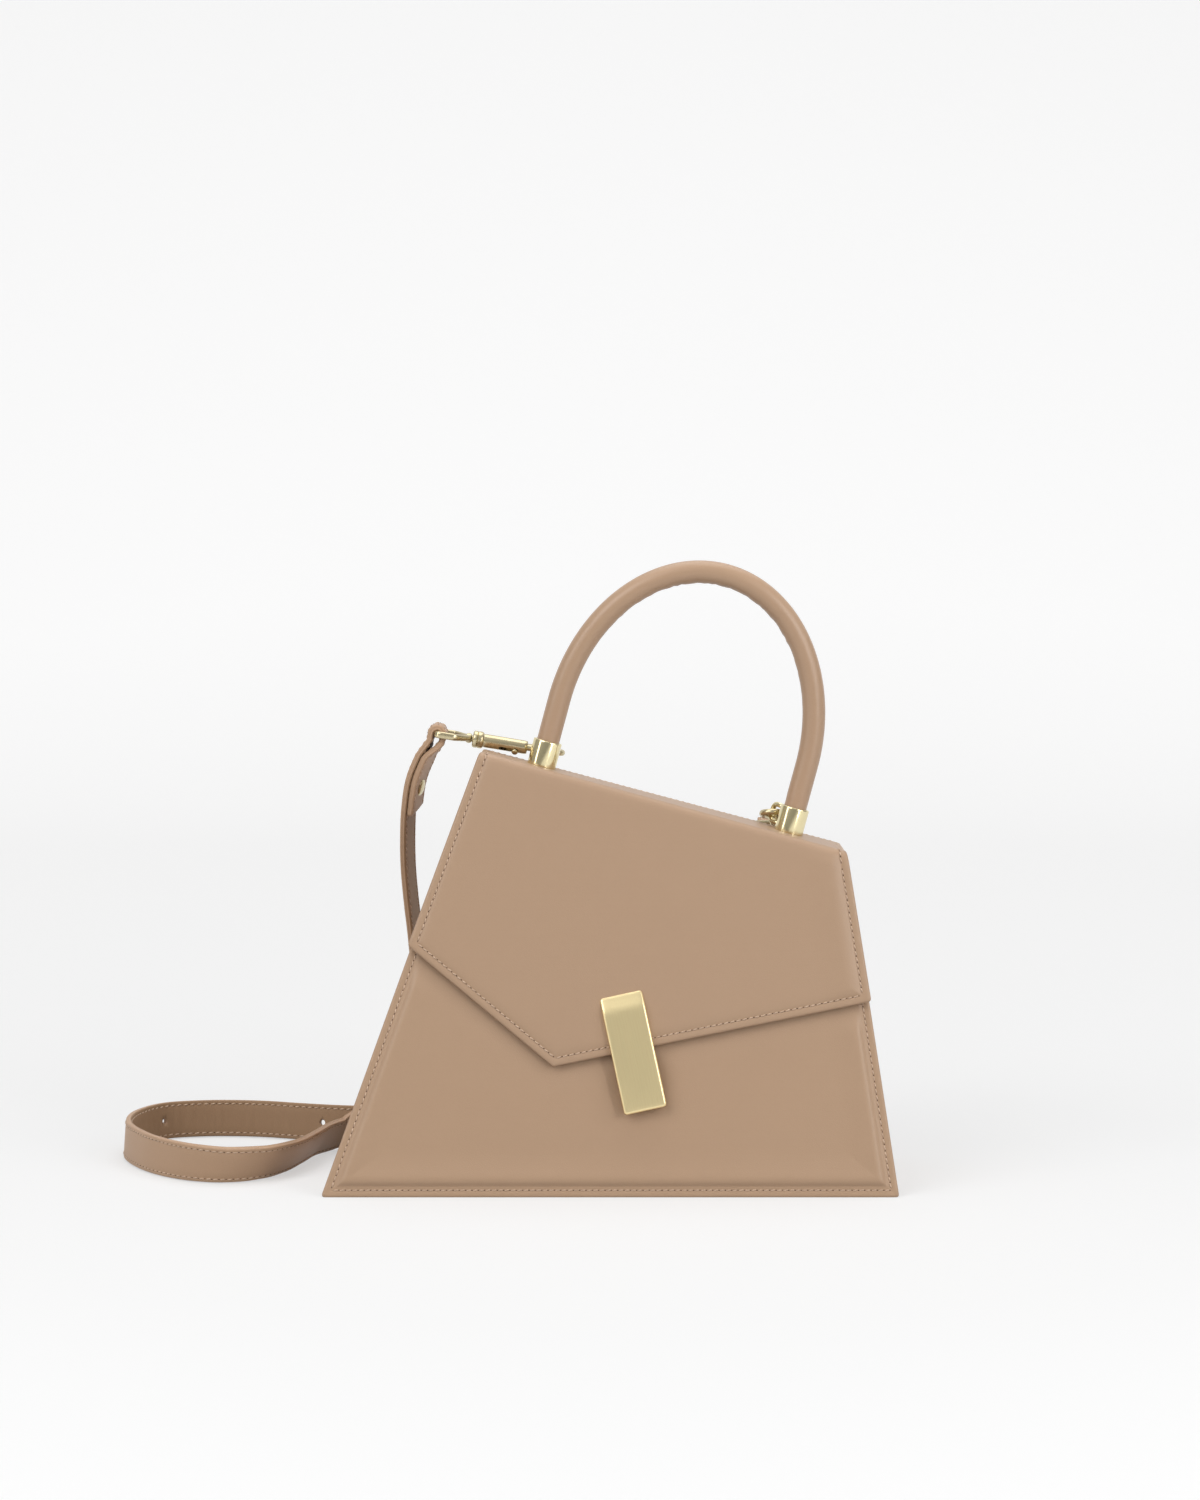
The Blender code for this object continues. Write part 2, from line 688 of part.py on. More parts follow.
def closure(parts):
    """Brass plate screwed on from behind, its magnet boss, and the catch on the body."""
    leather, board, lining = parts
    centre, way = plate_point(0)
    half = (Vector(on_front(PLATE_TOP)) - Vector(on_front(PLATE_BOTTOM))).length / 2
    side = Vector((-way.y, way.x))
    profile = [(-half, PLATE_INNER), (half, PLATE_INNER), (half, PLATE_OUTER),
               (-half + PLATE_TIP, PLATE_OUTER), (-half, PLATE_OUTER - PLATE_TIP)]
    rings = []
    for shift in (-PLATE_WIDTH / 2, PLATE_WIDTH / 2):
        ring = []
        for along, n in profile:
            p = centre + way * along + side * shift
            ring.append(FRONT.at(p.x, p.y, n))
        rings.append(ring)
    plate = loft("closure_plate", rings, "brass")
    front = FRONT.at(0, 0, PLATE_INNER + GAP)

    def outer_edge(edge):
        return any((v.co - front).dot(FRONT.n) > 0 for v in edge.verts)

    soften(plate, PLATE_BEVEL, outer_edge)
    u, v = boss_place()

    def spot(n):
        return FRONT.at(u, v, n)

    drill(plate, spot(0), spot(PEG_HOLE_TOP), BOSS_PEG_RADIUS + GAP)
    boss = [(BOSS_LOW, CUP_RADIUS), (BOSS_LOW, BOSS_RADIUS),
            (BOSS_HIGH, BOSS_RADIUS), (BOSS_HIGH, BOSS_PEG_RADIUS),
            (BOSS_PEG_TOP, BOSS_PEG_RADIUS), (BOSS_PEG_TOP, 0),
            (BOSS_FLOOR, 0), (BOSS_FLOOR, CUP_RADIUS)]
    revolve("closure_boss", spot(0), FRONT.n, boss, "brass")
    cylinder("flap_magnet", spot(MAGNET_LOW), spot(MAGNET_HIGH), MAGNET_RADIUS, "steel")
    cylinder("receiver_washer", spot(WASHER_LOW), spot(WASHER_HIGH), WASHER_RADIUS, "brass")
    back = -PANEL_THICK - GAP
    cylinder("receiver_magnet", spot(back - BOARD_THICK), spot(back), MAGNET_RADIUS, "steel")
    for name, shift in zip(("closure_screw_lower", "closure_screw_upper"), SCREW_SHIFTS):
        p, _ = plate_point(-shift)
        start = FRONT.at(p.x, p.y, 0)
        clear = SCREW_SHANK_RADIUS + GAP
        drill(plate, start, FRONT.at(p.x, p.y, SCREW_HOLE_TOP), clear, 20)
        drill(leather, start, FRONT.at(p.x, p.y, PLATE_OUTER), clear, 20)
        drill(board, start, FRONT.at(p.x, p.y, PLATE_OUTER), SCREW_HEAD_RADIUS + GAP, 20)
        drill(lining, start, FRONT.at(p.x, p.y, PLATE_OUTER), SCREW_HEAD_RADIUS + GAP, 20)
        profile = [(SCREW_HEAD_LOW, 0), (SCREW_HEAD_LOW, SCREW_HEAD_RADIUS),
                   (SCREW_HEAD_HIGH, SCREW_HEAD_RADIUS), (SCREW_HEAD_HIGH, SCREW_SHANK_RADIUS),
                   (SCREW_TIP, SCREW_SHANK_RADIUS), (SCREW_TIP, 0)]
        revolve(name, start, FRONT.n, profile, "steel", 20)


def staple_frame(x, turn):
    """Foot of a ferrule, and the way its staple points, square to the ferrule."""
    return TOP.at(ferrule_u(x), 0, 0), TOP.u * math.cos(turn) + TOP.v * math.sin(turn)


def handle():
    """Ferrules with their staples, the rope core in its leather tube, and the screws."""
    for name, x, turn in (("left", LEFT_FERRULE_X, LEFT_STAPLE_TURN),
                          ("right", RIGHT_FERRULE_X, RIGHT_STAPLE_TURN)):
        foot, out = staple_frame(x, turn)
        profile = [(FERRULE_LOW, ANCHOR_HOLE), (FERRULE_LOW, FERRULE_RADIUS - FERRULE_BEVEL),
                   (FERRULE_LOW + FERRULE_BEVEL, FERRULE_RADIUS),
                   (FERRULE_TOP - FERRULE_BEVEL, FERRULE_RADIUS),
                   (FERRULE_TOP, FERRULE_RADIUS - FERRULE_BEVEL), (FERRULE_TOP, FERRULE_BORE),
                   (FERRULE_FLOOR, FERRULE_BORE), (FERRULE_FLOOR, 0), (ANCHOR_HOLE_TOP, 0),
                   (ANCHOR_HOLE_TOP, ANCHOR_HOLE)]
        ferrule = revolve(name + "_ferrule", foot, TOP.n, profile, "brass", 40)
        flat = [(STAPLE_START, STAPLE_LOW), (STAPLE_REACH - STAPLE_BEND, STAPLE_LOW)]
        for k in range(1, 4):
            a = math.radians(90) * k / 4
            flat.append((STAPLE_REACH - STAPLE_BEND * (1 - math.sin(a)),
                         STAPLE_LOW + STAPLE_BEND * (1 - math.cos(a))))
        flat += [(STAPLE_REACH, STAPLE_LOW + STAPLE_BEND)]
        mirror = [(r, STAPLE_LOW + STAPLE_HIGH - n) for r, n in reversed(flat)]
        path = [foot + out * r + TOP.n * n for r, n in flat + mirror]
        combine(ferrule, wire("staple", path, STAPLE_WIRE, "brass", 12), "UNION")
        head = -PANEL_THICK - GAP - BACKING_THICK - GAP
        low = head - ANCHOR_HEAD_THICK
        screw = [(low, 0), (low, ANCHOR_HEAD_RADIUS), (head, ANCHOR_HEAD_RADIUS), (head, ANCHOR_RADIUS),
                 (ANCHOR_TIP, ANCHOR_RADIUS), (ANCHOR_TIP, 0)]
        revolve(name + "_ferrule_screw", foot, TOP.n, screw, "steel", 24)
    path = handle_path()
    wire("handle_cover", path, HANDLE_RADIUS, "leather", 24, HANDLE_BORE)
    wire("handle_core", path, CORE_RADIUS, "rope", 16)


def handle_path():
    u0, u1 = ferrule_u(LEFT_FERRULE_X), ferrule_u(RIGHT_FERRULE_X)
    mid, half = (u0 + u1) / 2, (u1 - u0) / 2
    flat = [(u0, HANDLE_START), (u0, FERRULE_TOP), (u0, (FERRULE_TOP + HANDLE_LEG_TOP) / 2)]
    steps = 36
    for k in range(steps + 1):
        a = math.pi * k / steps
        flat.append((mid - half * math.cos(a), HANDLE_LEG_TOP + HANDLE_RISE * math.sin(a)))
    flat += [(u1, (FERRULE_TOP + HANDLE_LEG_TOP) / 2), (u1, FERRULE_TOP), (u1, HANDLE_START)]
    return [TOP.at(u, 0, n) for u, n in flat]


class Hook:
    """Where a snap hook lies: its eye end, the way along its barrel, its arm's side, and up."""

    def __init__(self, side):
        self.name = side
        if side == "left":
            foot, out = staple_frame(LEFT_FERRULE_X, LEFT_STAPLE_TURN)
            self.way = Vector((1, 0, -LEFT_HOOK_DROP)).normalized()
            self.arm = Vector((0, 1, 0))
            bar, at = foot + out * STAPLE_REACH + TOP.n * HOOK_LEVEL, LEFT_BAR_AT
        else:
            foot, out = staple_frame(RIGHT_FERRULE_X, RIGHT_STAPLE_TURN)
            self.way = Vector((0, -1, RIGHT_HOOK_DROP)).normalized()
            self.arm = Vector((-1, 0, 0))
            bar, at = foot + out * STAPLE_REACH + TOP.n * HOOK_LEVEL, RIGHT_BAR_AT
            bar = bar + Vector((0, 0, RIGHT_HOOK_SHIFT))
        self.start = bar - self.arm * HOOK_BEND - self.way * at
        up = self.way.cross(self.arm)
        self.up = up if up.z > 0 else -up

    def at(self, along, across=0.0, high=0.0):
        return self.start + self.way * along + self.arm * across + self.up * high


def eye(hook):
    """The hook's D-shaped eye with the post that turns in the barrel."""
    shoulder = EYE_SHOULDER + EYE_WIRE
    flat = rounded([(EYE_BAR, -EYE_HALF_WIDTH), (shoulder, -EYE_HALF_WIDTH), (EYE_NECK, -EYE_WIRE),
                    (EYE_NECK, EYE_WIRE), (shoulder, EYE_HALF_WIDTH), (EYE_BAR, EYE_HALF_WIDTH)],
                   CORNER_RADIUS, CORNER_STEPS - 1)
    flat = [p for i, p in enumerate(flat) if (Vector(p) - Vector(flat[i - 1])).length > GAP]
    points = [hook.at(*p) for p in flat]
    rings = []
    count = len(points)
    for i, p in enumerate(points):
        way = (points[(i + 1) % count] - points[i - 1]).normalized()
        rings.append(circle(p, hook.up, way.cross(hook.up), EYE_WIRE, 12))
    item = loft("hook_" + hook.name + "_eye", rings, "brass", closed_ring=True)
    profile = [(EYE_NECK, 0), (EYE_NECK, EYE_POST_RADIUS), (EYE_HEAD_START, EYE_POST_RADIUS),
               (EYE_HEAD_START, EYE_HEAD_RADIUS), (EYE_POST_END, EYE_HEAD_RADIUS), (EYE_POST_END, 0)]
    return combine(item, revolve("post", hook.start, hook.way, profile, "brass", 20), "UNION")


def knob_way(hook):
    return (hook.arm * -1 - hook.up).normalized()


def barrel(hook):
    """Barrel with a socket for the eye's post, a bore for the gate, and the hook's arm."""
    profile = [(COLLAR_START, POST_HOLE), (COLLAR_START, COLLAR_RADIUS), (COLLAR_END, COLLAR_RADIUS),
               (COLLAR_END, BARREL_RADIUS), (BARREL_END, BARREL_RADIUS), (BARREL_END, BORE_RADIUS),
               (BORE_START, BORE_RADIUS), (BORE_START, 0), (CHAMBER_END, 0), (CHAMBER_END, CHAMBER_RADIUS),
               (CHAMBER_START, CHAMBER_RADIUS), (CHAMBER_START, POST_HOLE)]
    item = revolve("hook_" + hook.name + "_body", hook.start, hook.way, profile, "brass", 28)
    flat = [(HOOK_ROOT_AT, HOOK_ROOT_SHIFT), (HOOK_ROOT_END, HOOK_ROOT_SHIFT)]
    span, climb = HOOK_TURN_AT - BARREL_END, HOOK_ARM_SHIFT - HOOK_ROOT_SHIFT
    for gone, risen in HOOK_SWEEP_SHARES:
        flat.append((BARREL_END + span * gone, HOOK_ROOT_SHIFT + climb * risen))
    for k in range(9):
        a = math.pi * k / 8
        flat.append((HOOK_TURN_AT + HOOK_BEND * math.sin(a), HOOK_BEND + HOOK_BEND * math.cos(a)))
    flat.append((HOOK_END, 0))
    path = smooth([hook.at(*p) for p in flat], 2)
    combine(item, wire("arm", path, HOOK_WIRE, "brass", 12), "UNION")
    out = knob_way(hook)
    side = out.cross(hook.way)
    rings = []
    for along in (SLOT_START, SLOT_END):
        base_point = hook.at(along)
        rings.append([base_point + out * r + side * w for r, w in (
            (GATE_RADIUS / 2, -SLOT_HALF_WIDTH), (KNOB_HIGH, -SLOT_HALF_WIDTH),
            (KNOB_HIGH, SLOT_HALF_WIDTH), (GATE_RADIUS / 2, SLOT_HALF_WIDTH))])
    return combine(item, loft("slot", rings, "brass"), "DIFFERENCE")


def gate(hook):
    """Sliding plunger with a thumb knob that stands out through the barrel's slot."""
    name = "hook_" + hook.name + "_gate"
    item = cylinder(name, hook.at(GATE_START), hook.at(GATE_TIP), GATE_RADIUS, "brass", 20)
    out, foot = knob_way(hook), hook.at(KNOB_AT)
    profile = [(0, 0), (0, KNOB_STEM), (KNOB_LOW, KNOB_STEM), (KNOB_LOW, KNOB_RADIUS),
               (KNOB_HIGH, KNOB_RADIUS), (KNOB_HIGH, 0)]
    return combine(item, revolve("knob", foot, out, profile, "brass", 16), "UNION")


def spring(hook):
    steps = SPRING_TURNS * 12
    path = []
    for k in range(steps + 1):
        a = 2 * math.pi * k / 12
        along = SPRING_START + (SPRING_END - SPRING_START) * k / steps
        path.append(hook.at(along, SPRING_RADIUS * math.cos(a), SPRING_RADIUS * math.sin(a)))
    return wire("hook_" + hook.name + "_spring", path, SPRING_WIRE, "steel", 6)


# Middle line of the strap between its two hooks: x, y, z, how far its width has turned up, and how
# far it leans outwards from its loop on the floor.
STRAP_ROUTE = (
    (-0.0880, 0.0120, 0.1990, 0.0, 0.0), (-0.0925, 0.0145, 0.1880, 0.0, 0.0),
    (-0.0950, 0.0190, 0.1740, 0.0, 0.0), (-0.0960, 0.0245, 0.1580, 0.0, 0.0),
    (-0.0960, 0.0300, 0.1430, 0.0, 0.0), (-0.0950, 0.0355, 0.1270, 0.0, 0.0),
    (-0.0935, 0.0415, 0.1100, 0.05, 0.0), (-0.0925, 0.0480, 0.0920, 0.13, 0.0),
    (-0.0925, 0.0550, 0.0740, 0.25, 0.0), (-0.0945, 0.0615, 0.0560, 0.4, 0.0),
    (-0.1000, 0.0668, 0.0390, 0.58, 0.08), (-0.1088, 0.0698, 0.0243, 0.76, 0.22),
    (-0.1200, 0.0702, 0.0138, 0.92, 0.42), (-0.1315, 0.0655, 0.0092, 1.0, 0.55),
    (-0.1395, 0.0500, 0.0089, 1.0, 0.577), (-0.1445, 0.0290, 0.0089, 1.0, 0.577),
    (-0.1515, 0.0050, 0.0089, 1.0, 0.577), (-0.1625, -0.0120, 0.0091, 1.0, 0.51),
    (-0.1785, -0.0188, 0.0093, 1.0, 0.36), (-0.1943, -0.0143, 0.0095, 1.0, 0.17),
    (-0.2102, -0.0003, 0.0094, 1.0, 0.0), (-0.2232, 0.0188, 0.0095, 1.0, -0.08),
    (-0.2335, 0.0469, 0.0095, 1.0, -0.08), (-0.2325, 0.0760, 0.0094, 1.0, 0.0),
    (-0.2213, 0.0970, 0.0094, 1.0, 0.08), (-0.2046, 0.1036, 0.0094, 1.0, 0.12),
    (-0.1881, 0.1045, 0.0094, 1.0, 0.12), (-0.1712, 0.1018, 0.0094, 1.0, 0.12),
    (-0.1540, 0.0955, 0.0094, 1.0, 0.12), (-0.1290, 0.0885, 0.0094, 1.0, 0.1),
    (-0.0900, 0.0860, 0.0094, 1.0, 0.0), (-0.0500, 0.0850, 0.0095, 1.0, 0.0),
    (-0.0100, 0.0870, 0.0130, 0.97, 0.0), (0.0250, 0.0900, 0.0250, 0.85, 0.0),
    (0.0520, 0.0920, 0.0460, 0.62, 0.0), (0.0690, 0.0900, 0.0740, 0.35, 0.0),
    (0.0785, 0.0860, 0.1050, 0.1, 0.0), (0.0811, 0.0785, 0.1330, 0.0, 0.0),
)


def strap_line(left, right):
    """Points and width directions of the free run, from one hook's bar to the other's."""
    first = left.at(EYE_BAR) - left.way * STRAP_WRAP
    last = right.at(EYE_BAR) - right.way * STRAP_WRAP
    points = [first, first - left.up * STRAP_PLY]
    across = [left.arm, left.arm]
    twisted = left.arm * math.cos(STRAP_TWIST) + left.way * math.sin(STRAP_TWIST)
    upright, route = Vector((0, 0, 1)), [Vector(place[:3]) for place in STRAP_ROUTE]
    for i, (x, y, z, turned, lean) in enumerate(STRAP_ROUTE):
        ahead = route[min(i + 1, len(route) - 1)] - route[max(i - 1, 0)]
        flat = twisted if x < CREST_LEFT_X else right.arm
        points.append(route[i])
        outward = upright.cross(ahead).normalized()
        across.append((flat * (1 - turned) + upright * turned + outward * lean).normalized())
    points += [last - right.up * STRAP_PLY * 2, last - right.up * STRAP_PLY, last]
    across += [right.arm, right.arm, right.arm]
    line, width = smooth(points, 4), between(across, 4)
    ways, _ = carried(line)
    width = [(w - t * w.dot(t)).normalized() for w, t in zip(width, ways)]
    return line, ways, width


def end_loop(hook, line, ways, width):
    """Points round a hook's bar and down the tail, for a run that starts at the bar."""
    bar = hook.at(EYE_BAR)
    flip = 1 if ways[0].cross(width[0]).dot(hook.way) > 0 else -1
    turn, tail = [], []
    for k in range(1, 8):
        a = math.pi * k / 8
        out, high = STRAP_WRAP * math.cos(a), STRAP_WRAP * math.sin(a)
        turn.append((bar - hook.way * out + hook.up * high, hook.arm))
    run = 0.0
    wide = 2 * STRAP_WRAP
    for i in range(len(line)):
        if i:
            run += (line[i] - line[i - 1]).length
        if run > TAIL_LENGTH:
            break
        t = min(run / (4 * STRAP_PLY), 1.0)
        off = wide + (STRAP_PLY - wide) * t * t * (3 - 2 * t)
        inward = ways[i].cross(width[i]).normalized() * flip
        tail.append((line[i] + inward * off, width[i]))
    return turn, tail


def stud(name, hook, line, ways, width):
    """Rivet through both layers of a strap end, with its two holes' line."""
    run = 0.0
    for i in range(1, len(line)):
        run += (line[i] - line[i - 1]).length
        if run > STUD_AT:
            break
    out = ways[i].cross(width[i]).normalized()
    out = out if out.dot(hook.way) > 0 else -out
    half = STRAP_THICK / 2 + GAP
    low, high = -half, STRAP_PLY + half
    profile = [(low - STUD_HEAD_THICK, 0), (low - STUD_HEAD_THICK, STUD_HEAD_RADIUS - GAP),
               (low - STUD_HEAD_THICK + GAP, STUD_HEAD_RADIUS),
               (low, STUD_HEAD_RADIUS), (low, STUD_POST_RADIUS),
               (high, STUD_POST_RADIUS), (high, STUD_HEAD_RADIUS),
               (high + STUD_HEAD_THICK - GAP, STUD_HEAD_RADIUS),
               (high + STUD_HEAD_THICK, STUD_HEAD_RADIUS - GAP), (high + STUD_HEAD_THICK, 0)]
    revolve(name, line[i], out, profile, "brass", 24)
    return line[i] - out * STUD_HEAD_RADIUS * 2, line[i] + out * STUD_HEAD_RADIUS * 2


def strap(left, right):
    """One flat strap: each end is folded round its hook's bar and held by a stud."""
    line, ways, width = strap_line(left, right)
    back = [-w for w in reversed(ways)]
    turn_a, tail_a = end_loop(left, line, ways, width)
    turn_b, tail_b = end_loop(right, line[::-1], back, width[::-1])
    sign = 1 if width[0].dot(left.arm) > 0 else -1
    route = list(reversed(tail_a)) + [(p, w * sign) for p, w in reversed(turn_a)]
    route += list(zip(line, width)) + turn_b + tail_b
    points = [p for p, _ in route]
    ways_all, _ = carried(points)
    rings = []
    for (p, w), t in zip(route, ways_all):
        w = (w - t * w.dot(t)).normalized()
        n = t.cross(w)
        a, b = w * (STRAP_WIDTH / 2), n * (STRAP_THICK / 2)
        ease = GAP * 2
        wa, nb = w * ease, n * ease
        rings.append([p - a + nb - b, p - a + wa - b, p + a - wa - b, p + a + nb - b,
                      p + a - nb + b, p + a - wa + b, p - a + wa + b, p - a - nb + b])
    item = loft("shoulder_strap", rings, "leather")
    for name, hook, run in (("strap_stud_left", left, (line, ways, width)),
                            ("strap_stud_right", right, (line[::-1], back, width[::-1]))):
        start, end = stud(name, hook, *run)
        drill(item, start, end, STUD_HOLE, 16)
    for x in ADJUST_HOLE_XS:
        behind = [i for i, p in enumerate(line) if p.y > face_y(0)]
        near = min(behind, key=lambda i: abs(line[i].x - x))
        reach = ways[near].cross(width[near]).normalized() * (STRAP_THICK * 2)
        drill(item, line[near] - reach, line[near] + reach, ADJUST_HOLE, 12)
    return item


def build():
    clear_scene()
    body_panels()
    boards()
    lining()
    closure(flap())
    handle()
    hooks = Hook("left"), Hook("right")
    for hook in hooks:
        eye(hook)
        barrel(hook)
        gate(hook)
        spring(hook)
    strap(*hooks)


build()
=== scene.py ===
import math

import bmesh
import bpy
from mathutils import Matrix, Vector


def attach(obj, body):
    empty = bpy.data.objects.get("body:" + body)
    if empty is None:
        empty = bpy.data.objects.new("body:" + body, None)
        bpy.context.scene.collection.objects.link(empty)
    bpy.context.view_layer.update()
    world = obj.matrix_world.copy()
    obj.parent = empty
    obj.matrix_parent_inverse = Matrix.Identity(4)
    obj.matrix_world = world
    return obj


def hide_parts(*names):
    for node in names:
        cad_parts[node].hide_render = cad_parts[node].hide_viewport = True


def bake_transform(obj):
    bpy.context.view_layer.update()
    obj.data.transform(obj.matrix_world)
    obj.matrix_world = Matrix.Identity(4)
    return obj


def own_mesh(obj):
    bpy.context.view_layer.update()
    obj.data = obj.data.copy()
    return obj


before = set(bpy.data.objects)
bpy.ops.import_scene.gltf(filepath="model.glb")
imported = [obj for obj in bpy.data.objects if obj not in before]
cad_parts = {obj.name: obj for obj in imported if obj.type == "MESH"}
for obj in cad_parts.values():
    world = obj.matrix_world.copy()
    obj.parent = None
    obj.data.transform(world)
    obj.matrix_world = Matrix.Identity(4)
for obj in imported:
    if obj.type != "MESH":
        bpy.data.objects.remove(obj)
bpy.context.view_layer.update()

# The camera: a long lens a good step and a half in front of the bag, a little above the handle
# and tipped down by four degrees.
camera_place, camera_tip, lens_length, sensor_width = (-0.0046, -1.65, 0.32), 4.1, 84.9, 36.0
lens_data = bpy.data.cameras.new("photo_camera")
lens_data.lens = lens_length
lens_data.sensor_width = sensor_width
lens_data.dof.use_dof = False
photo_camera = bpy.data.objects.new("photo_camera", lens_data)
photo_camera.location = camera_place
photo_camera.rotation_euler = (math.radians(90 - camera_tip), 0, 0)
bpy.context.scene.collection.objects.link(photo_camera)
bpy.context.scene.camera = photo_camera
bpy.context.scene.view_settings.view_transform = "Standard"


# The pale studio paper that the bag stands on, which sweeps up behind it. It takes the bag's
# shadow, and beyond its own grey it glows only for the camera and for reflections, a little more
# the further it lies from the bag, so that it looks evenly pale without lighting anything.

def feed(tree, socket, value):
    """Give a socket a plain value, or join another node's output to it."""
    if isinstance(value, bpy.types.NodeSocket):
        tree.links.new(value, socket)
    else:
        socket.default_value = value


def maths(tree, operation, *values):
    """A maths node on plain numbers and other nodes' outputs; gives its own output."""
    node = tree.nodes.new("ShaderNodeMath")
    node.operation = operation
    for socket, value in zip(node.inputs, values):
        feed(tree, socket, value)
    return node.outputs[0]


def stretched(tree, value, **ends):
    """A value moved from one range to another."""
    node = tree.nodes.new("ShaderNodeMapRange")
    for label, number in ends.items():
        node.inputs[label.replace("_", " ").title()].default_value = number
    tree.links.new(value, node.inputs["Value"])
    return node.outputs["Result"]


def new_look(name):
    """A new material with its node tree and its shader's inputs."""
    look = bpy.data.materials.new(name)
    look.use_nodes = True
    return look, look.node_tree, look.node_tree.nodes["Principled BSDF"].inputs


paper_half_wide, floor_near, sweep_start, sweep_radius, paper_top = 6.0, -6.0, 1.6, 1.2, 6.0
paper_line = [(floor_near, 0), (sweep_start, 0)]
for angle in (math.radians(degrees) for degrees in range(10, 91, 10)):
    paper_line.append((sweep_start + sweep_radius * math.sin(angle),
                       sweep_radius - sweep_radius * math.cos(angle)))
paper_line.append((sweep_start + sweep_radius, paper_top))
sweep = bmesh.new()
rows = []
for y, z in paper_line:
    rows.append([sweep.verts.new((x, y, z)) for x in (-paper_half_wide, paper_half_wide)])
for low, high in zip(rows, rows[1:]):
    sweep.faces.new((low[0], low[1], high[1], high[0]))
paper_mesh = bpy.data.meshes.new("studio_paper")
sweep.to_mesh(paper_mesh)
sweep.free()
for face in paper_mesh.polygons:
    face.use_smooth = True
studio_paper = bpy.data.objects.new("studio_paper", paper_mesh)
bpy.context.scene.collection.objects.link(studio_paper)
paper_look, tree, shader = new_look("pale_paper")
shader["Base Color"].default_value = (0.40, 0.40, 0.40, 1)
shader["Roughness"].default_value = 0.9
shader["Specular IOR Level"].default_value = 0.0
ray = tree.nodes.new("ShaderNodeLightPath").outputs
seen = maths(tree, "MAXIMUM", ray["Is Camera Ray"], ray["Is Glossy Ray"])
seen = maths(tree, "MAXIMUM", seen, ray["Is Transmission Ray"])
far_off = tree.nodes.new("ShaderNodeVectorMath")
far_off.operation = "LENGTH"
tree.links.new(tree.nodes.new("ShaderNodeNewGeometry").outputs["Position"], far_off.inputs[0])
evening = stretched(tree, far_off.outputs["Value"], from_min=0.3, from_max=2.3, to_min=0.510, to_max=0.705)
glow, both = tree.nodes.new("ShaderNodeEmission"), tree.nodes.new("ShaderNodeAddShader")
glow.inputs["Color"].default_value = (1, 1, 1, 1)
tree.links.new(maths(tree, "MULTIPLY", seen, evening), glow.inputs["Strength"])
tree.links.new(tree.nodes["Principled BSDF"].outputs[0], both.inputs[0])
tree.links.new(glow.outputs[0], both.inputs[1])
tree.links.new(both.outputs[0], tree.nodes["Material Output"].inputs["Surface"])
paper_mesh.materials.append(paper_look)

# The light: pale air from all round, brighter overhead, and soft lamps, a large one up to the
# left, a weaker one to the right, one overhead, and two tall strips that draw the streaks on the
# brass.
studio_air = bpy.data.worlds.new("studio_air")
studio_air.use_nodes = True
tree = studio_air.node_tree
upward = tree.nodes.new("ShaderNodeSeparateXYZ")
tree.links.new(tree.nodes.new("ShaderNodeTexCoord").outputs["Generated"], upward.inputs[0])
air_level = stretched(tree, upward.outputs["Z"], from_min=-0.1, from_max=1.0, to_min=0.27, to_max=0.62)
seen_level = maths(tree, "MULTIPLY", tree.nodes.new("ShaderNodeLightPath").outputs["Is Camera Ray"], 0.92)
tree.links.new(maths(tree, "MAXIMUM", air_level, seen_level), tree.nodes["Background"].inputs["Strength"])
tree.nodes["Background"].inputs["Color"].default_value = (1.0, 1.0, 1.0, 1)
bpy.context.scene.world = studio_air
for name, place, width, height, power, aim in (
    ("window_left", (-1.1, -1.3, 1.5), 1.2, 1.2, 14.0, (0.0, 0.0, 0.10)),
    ("window_right", (1.6, -1.0, 0.9), 1.1, 1.1, 9.5, (0.0, 0.0, 0.12)),
    ("overhead", (0.1, 0.3, 1.9), 1.5, 1.5, 11.5, (0.0, 0.05, 0.0)),
    ("strip_left", (-1.35, -0.85, 0.45), 0.26, 1.3, 3.5, (0.0, 0.0, 0.15)),
    ("strip_right", (1.05, -1.30, 0.45), 0.24, 1.3, 6.5, (0.0, 0.0, 0.15)),
):
    lamp_data = bpy.data.lights.new(name, "AREA")
    lamp_data.shape = "RECTANGLE"
    lamp_data.size, lamp_data.size_y = width, height
    lamp_data.energy = power
    lamp = bpy.data.objects.new(name, lamp_data)
    lamp.location = place
    lamp.rotation_euler = (Vector(aim) - Vector(place)).to_track_quat("-Z", "Y").to_euler()
    bpy.context.scene.collection.objects.link(lamp)


# The shoulder strap: calf leather sewn to a backing near both edges, 18 mm wide; the backing's darker
# colour is painted shade for the strap's inner face. It lies in a loose loop on the floor and runs up behind
# the bag; each end is folded round the bar of a snap hook and riveted with a small brass stud, and two holes
# let it be taken up.

def effect(name, inputs, outputs):
    """A shader node group with named inputs and outputs, for finishes that share an effect."""
    group = bpy.data.node_groups.new(name, "ShaderNodeTree")
    for label, value in inputs:
        kind = "Float" if isinstance(value, float) else "Color" if len(value) == 4 else "Vector"
        socket = group.interface.new_socket(label, in_out="INPUT", socket_type="NodeSocket" + kind)
        socket.default_value = value
    for label in outputs:
        kind = "Color" if label == "Colour" else "Float"
        group.interface.new_socket(label, in_out="OUTPUT", socket_type="NodeSocket" + kind)
    given, result = group.nodes.new("NodeGroupInput"), group.nodes.new("NodeGroupOutput")
    return group, given.outputs, result.inputs, group.nodes.new("ShaderNodeTexCoord").outputs["Object"]


def texture(tree, kind, place, **settings):
    """A texture read at a place in space, with its settings."""
    node = tree.nodes.new("ShaderNodeTex" + kind)
    tree.links.new(place, node.inputs["Vector"])
    for label, value in settings.items():
        feed(tree, node.inputs[label], value)
    return node


